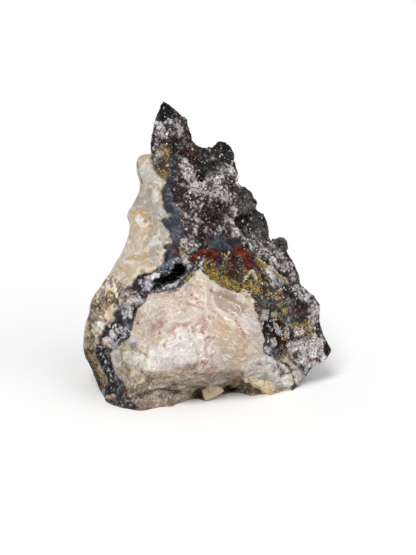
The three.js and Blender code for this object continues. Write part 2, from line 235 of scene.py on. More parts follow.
def back_depth(x, y):
    d = BACK[:, 0, None] + BACK[:, 1, None] * (x.ravel() - HUB[0]) + BACK[:, 2, None] * (y.ravel() - HUB[1])
    return (-0.5 * np.log(np.exp(-d / 0.5).sum(0))).reshape(x.shape)


def outline_radius(deg):
    """Distance from the hub to the outline on each bearing."""
    a = np.radians(deg)
    dx, dy = np.cos(a), -np.sin(a)
    p0 = OUTLINE - np.array(HUB)
    p1 = np.roll(OUTLINE, -1, 0) - np.array(HUB)
    e = p1 - p0
    det = e[:, 0][:, None] * dy - e[:, 1][:, None] * dx
    det = np.where(np.abs(det) < 1e-12, 1e-12, det)
    t = (p0[:, 1][:, None] * dx - p0[:, 0][:, None] * dy) / det
    r = (e[:, 0] * p0[:, 1] - e[:, 1] * p0[:, 0])[:, None] / det
    ok = (t >= -1e-9) & (t <= 1 + 1e-9) & (r > 0)
    return np.where(ok, r, 0).max(0)


def below(deg):
    return smoothstep(227, 234, deg) * smoothstep(-316, -309, -deg)


def inside_distance(x, y, poly):
    """Signed distance to a closed polygon, positive inside."""
    poly = np.asarray(poly, float).reshape(-1, 2)
    a, b = poly, np.roll(poly, -1, 0)
    best = np.full(x.shape, 1e9)
    inside = np.zeros(x.shape, bool)
    for (ax, ay), (bx, by) in zip(a, b):
        ex, ey = bx - ax, by - ay
        t = np.clip(((x - ax) * ex + (y - ay) * ey) / max(ex * ex + ey * ey, 1e-9), 0, 1)
        best = np.minimum(best, (x - ax - t * ex) ** 2 + (y - ay - t * ey) ** 2)
        cross = ((ay > y) != (by > y)) & (x < (bx - ax) * (y - ay) / (by - ay + 1e-12) + ax)
        inside ^= cross
    return np.where(inside, 1, -1) * np.sqrt(best)


VUG = [174,264, 178,262, 183,262.5, 186,266.5, 186,271, 182.5,276.5, 178.5,280.5, 174,283, 169,283.5, 165,285.5,
       161,288.5, 156,290.5, 151.5,290, 154.5,286.5, 158,283.5, 156,281.5, 151.5,280, 157,278, 161,275.5, 165,276, 169,274, 171.5,269]


def build_lump():
    cols = 1000
    rows_f, rows_b = 150, 80
    fine = np.arange(0, 360, 0.1)
    rad = outline_radius(fine)
    step = np.hypot(rad * math.radians(0.1), np.minimum(2.0, np.abs(rad - np.roll(rad, 1))))
    run = np.concatenate([[0], np.cumsum(step)])
    deg = np.interp(np.arange(cols) * run[-1] / cols, run, np.arange(len(run)) * 0.1) % 360
    edge = outline_radius(deg)
    under = below(deg)
    reach = edge + SKIRT * under
    dp = np.stack([np.cos(np.radians(deg)) * 3, np.sin(np.radians(deg)) * 3, deg * 0], -1)
    rim = np.interp(deg, RIM[:, 0], RIM[:, 1]) + 1.6 * vnoise(dp, 0.45, 3) + 0.8 * vnoise(dp, 0.2, 8)
    a = np.radians(deg)
    total = rows_f + rows_b
    rows = np.arange(1, total)
    front = rows <= rows_f
    t = np.where(front, rows / rows_f, (total - rows) / rows_b)[:, None]
    rho = np.sin(t ** 0.9 * math.pi / 2)
    sx = HUB[0] + rho * reach * np.cos(a)
    sy = HUB[1] - rho * reach * np.sin(a)
    n = np.where(front[:, None], 4.2 + 17 * under, 4.2 + 4 * under)
    h = np.maximum(0, 1 - rho ** n) ** (1 / n)
    depth = np.empty_like(sx)
    fx, fy = sx[front], sy[front]
    d = front_depth(fx, fy)
    v = inside_distance(fx, fy, VUG)
    d = d + 8.5 * smoothstep(-0.5, 3.0, v) * (0.8 + 0.2 * np.sin(fx * 0.7))
    depth[front] = d
    depth[~front] = back_depth(sx[~front], sy[~front])
    y = rim + (depth - rim) * h
    pts = place(sx, sy, y)
    one = np.array([HUB[0]]), np.array([HUB[1]])
    verts = np.concatenate([place(*one, front_depth(*one)), pts.reshape(-1, 3), place(*one, back_depth(*one))])
    verts[:, 2] = np.maximum(verts[:, 2], 0.0)
    j = np.arange(cols)
    jn = (j + 1) % cols
    last = 1 + (total - 2) * cols
    tris = np.concatenate([np.stack([0 * j, 1 + jn, 1 + j], -1),
                           np.stack([0 * j + len(verts) - 1, last + j, last + jn], -1)])
    o = (1 + np.arange(total - 2) * cols)[:, None]
    quads = np.stack([o + j, o + jn, o + cols + jn, o + cols + j], -1).reshape(-1, 4)
    return verts, tris, quads


def mesh_from(name, verts, tris=None, quads=None):
    m = bpy.data.meshes.new(name)
    nt = 0 if tris is None else len(tris)
    nq = 0 if quads is None else len(quads)
    loops = np.concatenate([x.ravel() for x in (tris, quads) if x is not None]).astype(np.int32)
    starts = np.concatenate([np.arange(nt) * 3, nt * 3 + np.arange(nq) * 4]).astype(np.int32)
    m.vertices.add(len(verts))
    m.vertices.foreach_set("co", np.asarray(verts, np.float32).ravel())
    m.loops.add(len(loops))
    m.loops.foreach_set("vertex_index", loops)
    m.polygons.add(nt + nq)
    m.polygons.foreach_set("loop_start", starts)
    m.update(calc_edges=True)
    return m


def read_verts(m):
    co = np.zeros(len(m.vertices) * 3, np.float32)
    m.vertices.foreach_get("co", co)
    return co.reshape(-1, 3).astype(float)


def read_normals(m):
    n = np.zeros(len(m.vertices) * 3, np.float32)
    m.vertices.foreach_get("normal", n)
    return n.reshape(-1, 3).astype(float)


def set_verts(m, co):
    m.vertices.foreach_set("co", np.asarray(co, np.float32).ravel())
    m.update()


def put_float(m, name, values):
    m.attributes.new(name, "FLOAT", "POINT").data.foreach_set("value", np.asarray(values, np.float32))


def put_colour(m, name, rgb):
    c = np.ones((len(rgb), 4), np.float32)
    c[:, :3] = rgb
    m.attributes.new(name, "FLOAT_COLOR", "POINT").data.foreach_set("color", c.ravel())


def lin(r, g, b):
    """sRGB 0-255 to linear."""
    c = np.array([r, g, b], float) / 255
    return np.where(c <= 0.04045, c / 12.92, ((c + 0.055) / 1.055) ** 2.4)


def spots(noise, level, soft=0.12):
    return smoothstep(level - soft, level + soft, noise)


def terrace(v, sharp=0.75):
    """Steps with flat treads: cleavage."""
    i = np.floor(v)
    return i + smoothstep(sharp, 1.0, v - i)


# =====================================================================================
# What shows where on the front, region by region. Each line: kind, colour (sRGB), strength,
# softness or half width (sheet units), lift (mm, outward) | points on the sheet.
# P a filled region, L a line, D round spots.
# =====================================================================================
# Painted highlights in the crust table: the pale stroke from 211,159.5 to 215,158.5, the white spot at 251.5,219, the
# spots from 247,225 to 199,170.5, the bluish-white spots from 219.5,156.5 to 244,222 and the spot at 164,107.5 on the
# black tip are painted glints of glossy crystals. They are laid into the skin and onto the grains set there.
# The near-black region from 195,176 to 206,176 in the crust table is dark crust, deepened to black as painted shade in
# the recess sunk there.
MARKS_CRUST = """
P 9,9,11 .98 1.2 .2 | 159,117 160,110 162,105 165,102 168,104 171,107 174,109 177,112 178,115 176,117 172,117 168,117 166,119 164,121 163,123 160,119 157,118
D 150,148,145 .9 1.3 0 | 176.5,114.5
L 74,72,68 .8 2 0 | 175,111 180,116 186,120
P 146,138,136 .9 1.8 .3 | 156,121 160,121 163,124 166,121 168,118 172,119 178,121 182,124 183,130 181,135 178,139 174,137 170,135 166,135 163,139 159,138 155,134 154,127
P 168,168,172 .8 1.3 .2 | 156,122 161,121 163,126 161,131 157,129
P 138,120,116 .7 1.5 .1 | 167,120 173,119 177,124 174,129 168,127
P 178,172,170 .8 1.3 .2 | 175,131 180,131 180,138 176,138
L 60,52,50 .7 .8 -.2 | 164,124 167,130 165,135
L 66,56,54 .6 .8 -.1 | 172,128 176,132 174,136
P 118,112,108 .7 1.5 0 | 180,119 186,118 188,126 184,128 180,125
P 88,84,74 .8 1.8 0 | 151,135 156,134 158,140 156,146 151,147
P 38,35,38 .9 1.5 -.2 | 160,140 166,139 170,137 174,139 178,141 180,148 178,150 172,150 168,147 163,145 160,143
D 150,140,132 .8 2.2 .3 | 157,142
D 132,122,118 .7 1.5 .1 | 164,137 170,140
P 92,82,52 .85 2 0 | 156,146 163,144 170,147 172,153 171,158 169,162 171,168 172,173 169,179 163,179 158,175 155,169 152,163 152,157 155,153 153,149
D 168,146,70 .9 1.6 .1 | 168,150 168,157 161,147 166,154 171,169 170,175 166,178
D 200,192,178 .9 2.6 .3 | 159,155
D 150,140,130 .8 1.6 .1 | 168,165 157,163 160,161
P 58,44,48 .9 1.2 0 | 160,164 166,165 167,170 161,170
P 120,86,36 .85 1.5 0 | 160,169 168,169 171,173 168,178 162,178 158,174
D 40,34,30 .9 1.2 -.1 | 163,168 169,171 164,162
P 40,27,27 .6 3 0 | 172,134 190,136 198,150 200,166 188,170 176,164
P 46,27,25 .92 2 0 | 178,148 186,143 192,150 198,152 200,160 196,168 190,165 186,158 180,156
P 38,36,35 .95 2 .2 | 196,147 212,147 218,141 224,142 231,149 234,157 234,163 228,165 222,162 214,168 208,172 204,176 202,172 199,160
P 16,15,16 .97 1.5 -.8 | 195,176 199,171 205,170 206,176 203,183 198,182
P 84,80,76 .6 2 .2 | 205,155 214,154 216,160 208,162
L 170,168,160 .8 .9 .2 | 211,159.5 215,158.5
L 160,146,142 .85 3 .4 | 181,160 185,165 190,170 194,177 197,183 200,187
P 172,162,158 .9 2.5 .4 | 191,183 197,182 203,188 203,194 196,196 190,192
P 158,148,146 .85 3 .4 | 203,184 207,176 213,172 219,170 224,176 226,186 229,194 226,202 216,202 208,198 203,192
P 160,152,148 .85 2 .3 | 219,168 225,165 232,168 237,174 237,180 233,180 229,173 222,171
P 50,38,36 .85 1.8 -.4 | 224,170 228,172 232,182 236,186 230,190 225,184 224,177
P 92,82,80 .7 2.5 0 | 184,176 192,180 190,190 182,190 176,184
P 42,33,36 .8 3 -.2 | 168,188 180,190 186,196 180,204 172,200
P 104,86,84 .6 4 .1 | 184,196 204,196 210,206 206,216 190,214 182,206
P 40,32,36 .85 3 -.3 | 205,200 220,200 226,206 228,214 222,222 214,222 206,226 201,222 200,212
P 122,108,106 .6 4 .1 | 180,212 196,214 200,222 196,234 184,234 180,224
P 154,148,134 .85 3 .2 | 178,238 184,236 192,240 200,244 196,250 188,257 180,256 177,248
P 130,122,118 .6 3 .1 | 214,224 222,223 224,230 216,234
P 176,170,166 .95 1.3 .7 | 230,208 234,206 237,209 236,216 232,217 230,213
P 168,162,158 .95 1.5 .8 | 223,214 228,216 232,221 233,226 229,227 225,222
P 178,170,164 .95 1.5 .9 | 229,228 234,228 239,231 240,235 235,239 230,236
P 148,144,142 .8 1.5 .4 | 236,222 240,228 238,231 234,226
L 142,136,132 .8 1.8 .4 | 240,232 244,238 249,243 252,250 258,257
P 92,90,86 .85 2.5 .3 | 226,196 240,190 250,192 254,200 256,206 250,214 240,214 232,206
P 52,42,40 .8 1.5 -.3 | 234,190 240,192 240,198 235,197
D 116,112,106 .6 2.5 .6 | 247,196 250,203 243,208
P 18,18,19 .97 2 -1.2 | 236,218 242,215 250,214 252,220 248,224 252,232 252,238 246,236 243,229 237,224
P 72,70,68 .8 2 .4 | 252,214 262,214 266,222 268,232 267,238 260,240 254,234 252,224
D 142,138,132 .7 1.8 .4 | 256,232 262,224 259,236
D 235,238,240 1 1.1 0 | 251.5,219
D 190,195,200 .9 .9 0 | 247,225 220,156.5 217.5,167 199,170.5
P 134,126,124 .75 3 .2 | 252,240 264,240 272,246 282,252 290,262 296,272 298,284 292,284 284,274 274,264 262,256 254,252
P 56,50,50 .7 1.5 -.2 | 262,250 270,252 270,258 263,256
P 60,54,54 .7 1.5 -.2 | 276,260 284,262 286,268 279,268
P 78,74,68 .9 1.5 .6 | 271,243 275,239 281,237 286,240 287,248 284,251 277,250 272,247
D 28,26,26 .9 2.2 -.2 | 279,246
L 124,118,110 .7 .9 .2 | 273,242 278,239 284,239 286,243
P 64,70,80 .9 1.6 0 | 209,241 214,237 222,235 227,239 231,244 238,242 241,245 238,249 230,249 222,250 214,248 209,250 205,249 209,245
L 92,100,112 .5 1.0 0 | 212,243 218,240 224,241
D 30,30,36 .8 1.6 -.1 | 222,247 211,238 233,247
D 20,18,20 .9 2 -.2 | 206,247
P 40,30,36 .9 1.5 0 | 226,239 234,240 240,240 240,244 230,246 226,243
P 70,64,52 .95 2 0 | 203,256 212,254 222,258 232,262 240,258 246,268 258,266 264,276 262,290 250,296 236,292 222,286 210,280 202,270
P 62,38,35 .9 2 0 | 226,256 236,250 241,262 239,272 237,284 228,284 226,270
P 62,36,36 .8 1.6 0 | 189,268 187,261 190,255 196,251 203,248.5 211,248 217,252 222,257 225,262 219,266 212,264 208,259 200,258 196,261 193,268
P 128,44,28 .92 .9 .1 | 191,264 189.5,261 191.5,257 196,253 201,250.5 208,250 213,252 218,257 221.5,261 218,263 213,260.5 209,257 205,255.3 200,255.3 196,257 193.5,261
P 64,36,35 .85 1.8 0 | 229,250 235,246 243,245 249,251 254,260 257,269 253,275 246,273 241,266 238,258 232,255
P 130,45,29 .92 1.1 .1 | 233,250 238.5,247 244,249 248,253.5 251,260 253,267.5 250.5,271 246.5,269 243.5,263 241,257 237,253
P 110,42,34 .85 1.2 0 | 213,257 220,258 222,261 218,263 213,261
L 84,34,30 .8 1 0 | 196,256 203,254 209,254
L 160,66,44 .6 .9 0 | 243,254 247,261 250,267
P 64,48,52 .9 2 0 | 250,259 257,262 260,270 262,280 264,292 259,293 256,282 254,270
P 82,88,98 .95 1.5 0 | 191,266 194,259 199,257 201,262 198,268 192,271
P 150,124,50 .6 2 .1 | 206,270 212,273 218,276 226,278 234,281 244,283 252,284 260,280 264,284 262,292 254,293 246,292 236,290 228,288 220,285 212,281 206,276
L 190,184,168 .95 1.2 .5 | 245,281 248,275 251,271 253,275 256,279
P 60,56,50 .8 1 0 | 248,279 251,275 253,280
L 168,138,48 .95 .9 .25 | 257,261 264,266 270,270 276,274 283,279 287,283
P 96,96,80 .9 1.3 0 | 260,263 266,267 272,271 280,276 288,281 287,286 280,288 274,285 269,280 263,271
P 168,168,140 .85 1 .1 | 262,264 266,266 269,271 266,272 262,268
L 148,124,52 .9 .8 .15 | 258,262 263,268 267,275 270,281
D 204,202,190 .92 1.2 .2 | 272,273 274,276 275,279 273.5,283 276,281 285,279 286,282
L 176,176,168 .8 1 .1 | 271,270 275,277 274,285
P 52,50,24 .95 1.1 -.1 | 277,275.5 281,277 284,282 283,287 278,286
P 60,61,67 .92 3 0 | 258,294 264,288 272,288 284,292 292,298 300,306 304,316 298,324 288,326 280,318 268,318 262,310
P 68,54,52 .7 3 0 | 282,302 296,304 302,314 296,320 286,314
P 92,104,122 .9 1.8 0 | 284,318 290,317 292,323 287,326 283,322
D 156,134,48 .9 1.7 .2 | 262,311
L 152,130,52 .9 1.3 .1 | 272,316 277,315
D 150,128,50 .85 1.3 .1 | 283,303 280,305 286,310 288,312 275,297 279,298 263,297 268,294 282,296 296,327
P 152,148,148 .85 3 .2 | 292,288 300,286 308,292 315,300 319,308 319,322 313,324 308,318 308,306 302,300 296,296
P 50,38,40 .8 2 -.2 | 284,286 292,286 296,292 292,300 284,296
P 154,150,148 .85 2 .4 | 310,300 318,304 319,318 313,320 309,312
P 62,34,32 .92 2 -.2 | 263,322 270,318 279,320 284,330 286,342 278,350 270,342 264,336
P 178,174,172 .9 1.3 .3 | 273,322 278,325 281,331 282,336 278,334 275,328
P 172,166,164 .9 1.3 .3 | 271,340 275,337 277,344 273,346
D 150,146,146 .8 1.5 .2 | 269,334 268,338 266,350
L 174,168,160 .8 1.2 .3 | 259,328 261,320 264,314 268,311
P 84,94,108 .95 1.8 0 | 264,344 270,346 277,350 282,357 280,361 274,358 268,355 264,352
P 180,180,182 .85 1.5 .3 | 265,346 270,349 268,354 265,352
P 70,44,40 .7 3 0 | 280,340 290,346 292,354 284,352
P 150,118,38 .9 .9 .15 | 259,309 262,308 264,311 262,313 260,312
P 150,118,38 .9 .9 .15 | 271,294 274,294 276,297 273,299 271,297
P 140,110,36 .9 .9 .15 | 276,291 280,291 281,294 278,295
P 152,120,36 .9 .9 .15 | 283,309 287,308 288,313 285,315 283,313
P 146,116,40 .85 .9 .1 | 271,313 276,312 277,316 273,317
P 158,124,40 .9 .9 .15 | 293,324 297,323 299,327 296,330 293,328
P 160,122,38 .9 1 .2 | 301,328 306,328 308,333 305,336 301,334
P 150,118,44 .85 .9 .1 | 304,322 309,322 310,326 306,327
P 148,114,38 .85 .9 .1 | 284,328 288,328 288,333 285,333
P 146,110,36 .85 .9 .1 | 283,335 287,335 287,340 284,340
P 158,120,40 .9 .9 .1 | 281,355 284,354 285,358 282,360
D 146,112,36 .9 1 .1 | 266,303 279,303 269,307 291,318 281,320 277,307 289,322
D 40,44,40 .8 1.6 -.1 | 276,288 282,289 288,290 292,296
L 84,94,104 .8 1.2 0 | 283,300 288,306 292,312 296,318
L 92,102,114 .8 1.1 0 | 270,290 277,297 283,303
D 84,44,40 .85 1.2 0 | 279,300 296,306 300,309 290,330 292,336
D 196,192,190 .9 .9 .25 | 270,321 274,320 277,325 280,329 276,331 281,334 283,338 272,329 269,326 266,318 273,341 276,344 268,340
D 70,30,28 .9 1.2 -.1 | 267,322 272,335 279,340 283,343 286,349 278,347 267,330
P 124,110,78 .9 1.6 .5 | 293,326 297,324 304,322 308,324 313,328 314,336 310,340 302,338 296,334
P 52,52,56 .8 1.5 -.2 | 292,336 300,338 300,342 294,342
P 64,68,70 .92 1.6 0 | 262,284 270,284 276,288 272,292 264,292
P 66,71,75 .9 1.8 0 | 262,297 276,298 288,298 292,304 284,306 268,306 261,303
P 176,156,88 .9 1 .15 | 270,293 275,295 281,299 279,301 273,297
D 214,206,176 .9 .9 .15 | 279,291 276,293 283,298 281,290
P 204,188,128 .92 .9 .15 | 271,314 275,312 278,313 275,316 271,316
L 146,122,44 .9 .8 .15 | 281,309 284,308 287,310 287,314 283,315
D 190,184,170 .85 .9 .15 | 283,311 264,312 265,315 263,318 266,320 262,323 267,316
P 44,36,38 .9 1.3 -.1 | 286,287 291,286 293,291 288,293
D 206,206,204 .9 .9 .15 | 286,289 294,286 296,295
P 78,50,50 .85 1.6 0 | 293,303 301,305 303,314 298,318 293,312
P 200,186,142 .92 1.1 .3 | 295,327 299,328 303,332 301,336 296,335 294,331
P 196,186,152 .92 1 .3 | 306,325 312,326 313,330 308,329
P 148,106,36 .95 1.2 .2 | 305,331 309,331 310,336 306,337
P 200,190,150 .9 .9 .3 | 310,333 313,334 313,338 310,338
L 162,134,50 .92 .8 .3 | 293,324 296,323 299,327
L 166,138,56 .92 .8 .3 | 303,326 304,321 307,325
P 190,178,130 .9 1 .15 | 285,332 289,333 289,338 286,338
P 216,212,210 1 2.5 .3 | 288,344 298,342 306,342 312,338 322,338 326,344 322,352 326,358 318,364 308,366 300,364 292,360 288,352
P 178,160,158 .6 3 .1 | 308,348 316,346 322,352 318,362 308,362
P 66,36,34 .95 1.8 .1 | 323,341 330,347 331,352 326,357 323,350
P 66,64,72 .85 2 0 | 313,326 320,326 324,338 318,340 313,334
P 124,58,44 .9 1.2 .1 | 291,354 297,355 298,358 292,359
P 70,48,46 .7 2 0 | 290,352 300,350 300,355 292,356
P 190,178,140 .9 1.5 .2 | 283,354 288,353 289,360 284,360
P 140,116,64 .8 1.2 0 | 281,358 285,358 284,363
L 118,66,54 .8 .8 0 | 307,356 310,360 315,358 319,361
D 96,52,44 .85 1 0 | 318,352 322,349 316,345 321,357 307,362 312,350 304,344 309,343
P 214,210,208 .9 1.3 .2 | 308,352 313,351 315,356 311,359 308,357
P 214,210,206 .9 1.3 .2 | 312,361 317,361 316,365 312,366
P 128,124,122 .9 1.5 0 | 302,368 306,365 311,366 309,371 305,374 302,373
P 88,44,34 .7 1.4 0 | 184,145 192,147 197,155 191,163 184,157
P 82,38,29 .7 1.3 0 | 175,149 183,151 186,160 178,159
P 74,38,32 .65 1.3 0 | 190,128 196,134 198,146 192,142
L 204,196,194 .8 .8 .1 | 179,163 185,170 190,178
L 198,190,188 .8 .8 .1 | 183,160 188,168 194,178
L 206,198,196 .8 .8 .1 | 181,170 187,178 192,186
L 196,188,188 .8 .8 .1 | 186,172 192,179 197,185
L 202,196,196 .8 .8 .1 | 196,178 202,186 206,194
L 206,200,198 .8 .8 .1 | 224,164 232,168 237,176
L 200,194,192 .8 .8 .1 | 228,170 235,178 239,188
L 190,184,184 .7 .8 .1 | 246,228 254,236 262,246
L 196,190,190 .7 .8 .1 | 262,250 270,258 278,268
L 190,184,184 .7 .8 .1 | 272,246 280,256 288,268
D 238,242,250 .95 .6 0 | 219.5,156.5 217.5,167 232,161 198.5,170.5 212,158 262,218 252,206 244,222
P 112,100,86 .75 1.3 0 | 154,148 160,146 165,149 166,158 163,166 157,163 153,156
P 168,160,146 .9 1.0 .1 | 157.5,152 161,152 162,157 159.5,158.5 157,156
P 92,62,50 .8 1.2 0 | 159,164 164,163 168,167 166,172 161,170
D 196,188,174 .8 .8 .1 | 158,153 160,155 153,149 155,160 163,153
D 60,48,38 .85 .9 -.1 | 156,147 164,157 157,160 162,161 165,163 168,168 160,172 155,152
D 176,134,46 .9 .8 .1 | 166,149 167,152 168,156 168,160 166,158 164,174 167,175 166,172
P 148,50,32 .95 1.2 0 | 193,263 193,258 196,253 201,250.5 207,249.5 212,250 217,253 221,258 222,262 219,263 215,258 211,254.5 205,253.5 200,254.5 197,257.5 196,262 194,266
L 178,72,42 .9 1.5 .05 | 196,257 200,252.5 206,251.2 211,252
P 16,16,20 .95 1.4 -.1 | 161,104 165,101 168,103 170,108 168,114 165,119 161,118 158,117 159,110
D 186,188,196 .8 .5 .1 | 164,107.5
D 120,118,122 .8 .7 .1 | 177,118 173,115
P 74,78,88 .9 1.2 -.05 | 197,260 201,256 206,256 205,262 201,268 197,270
P 150,148,138 .85 1.1 .1 | 262,266 268,268 276,275 284,283 284,288 277,289 271,284 266,275
P 196,194,186 .9 .9 .2 | 266,268 270,272 274,278 272,282 268,277 265,272
P 98,88,60 .8 1.0 0 | 277,280 284,284 284,289 278,288
L 196,164,84 .95 .7 .2 | 256,258.5 262,263 268,267.5 274,272 280,277.5 287,283.5
D 60,58,60 .85 .8 -.1 | 264,271 269,279 276,284 281,287 272,288 266,281
P 88,40,34 .7 1.0 0 | 231,252 235,256 236,262 233,268 230,262
P 64,66,72 .8 1.2 0 | 214,258 222,258 228,264 224,270 216,266
D 108,106,96 .8 1.0 0 | 240,256 241,260 243,266 238,262 236,270
P 84,36,32 .7 1.0 0 | 256,262 259,268 264,276 267,284 270,290 266,288 261,278 256,270
D 184,146,56 .9 1.1 .15 | 206,268 209,271 212,273 215.5,274.5 218,277 221,280 224,281 227,283.5 229,286 232,285 235,288 238,289 241,290 233,281 244,291 248,291 252,290 226,278 214,270.5 217,271 238,284 246,286 255,286
D 188,156,70 .9 1.0 .1 | 222,253 225,255 228,254 230,258 226,259 207,260 209,262 206,264 213,264 222,266 238,272 244,277 251,283 257,281 260,276 258,289
D 40,36,38 .94 1.1 -.1 | 209,269 213.5,271.5 219,276 225,279 231,282 236,285 242,287 246,288 250,289 254,283 247,284 233,284 222,278 215,268 212,262 216,266 220,270 224,274 229,276.5 234,278 219,262 210,267 237,278 242,282 214,258 227,268 232,272 247,281 252,278 241,286 249,288
D 46,42,44 .92 1.1 -.1 | 263,276 262,281 264,286 261,290 259,284 265,291 260,294
D 180,144,56 .9 .9 .1 | 266,278 267,284 268,290 264,283 266,295
"""
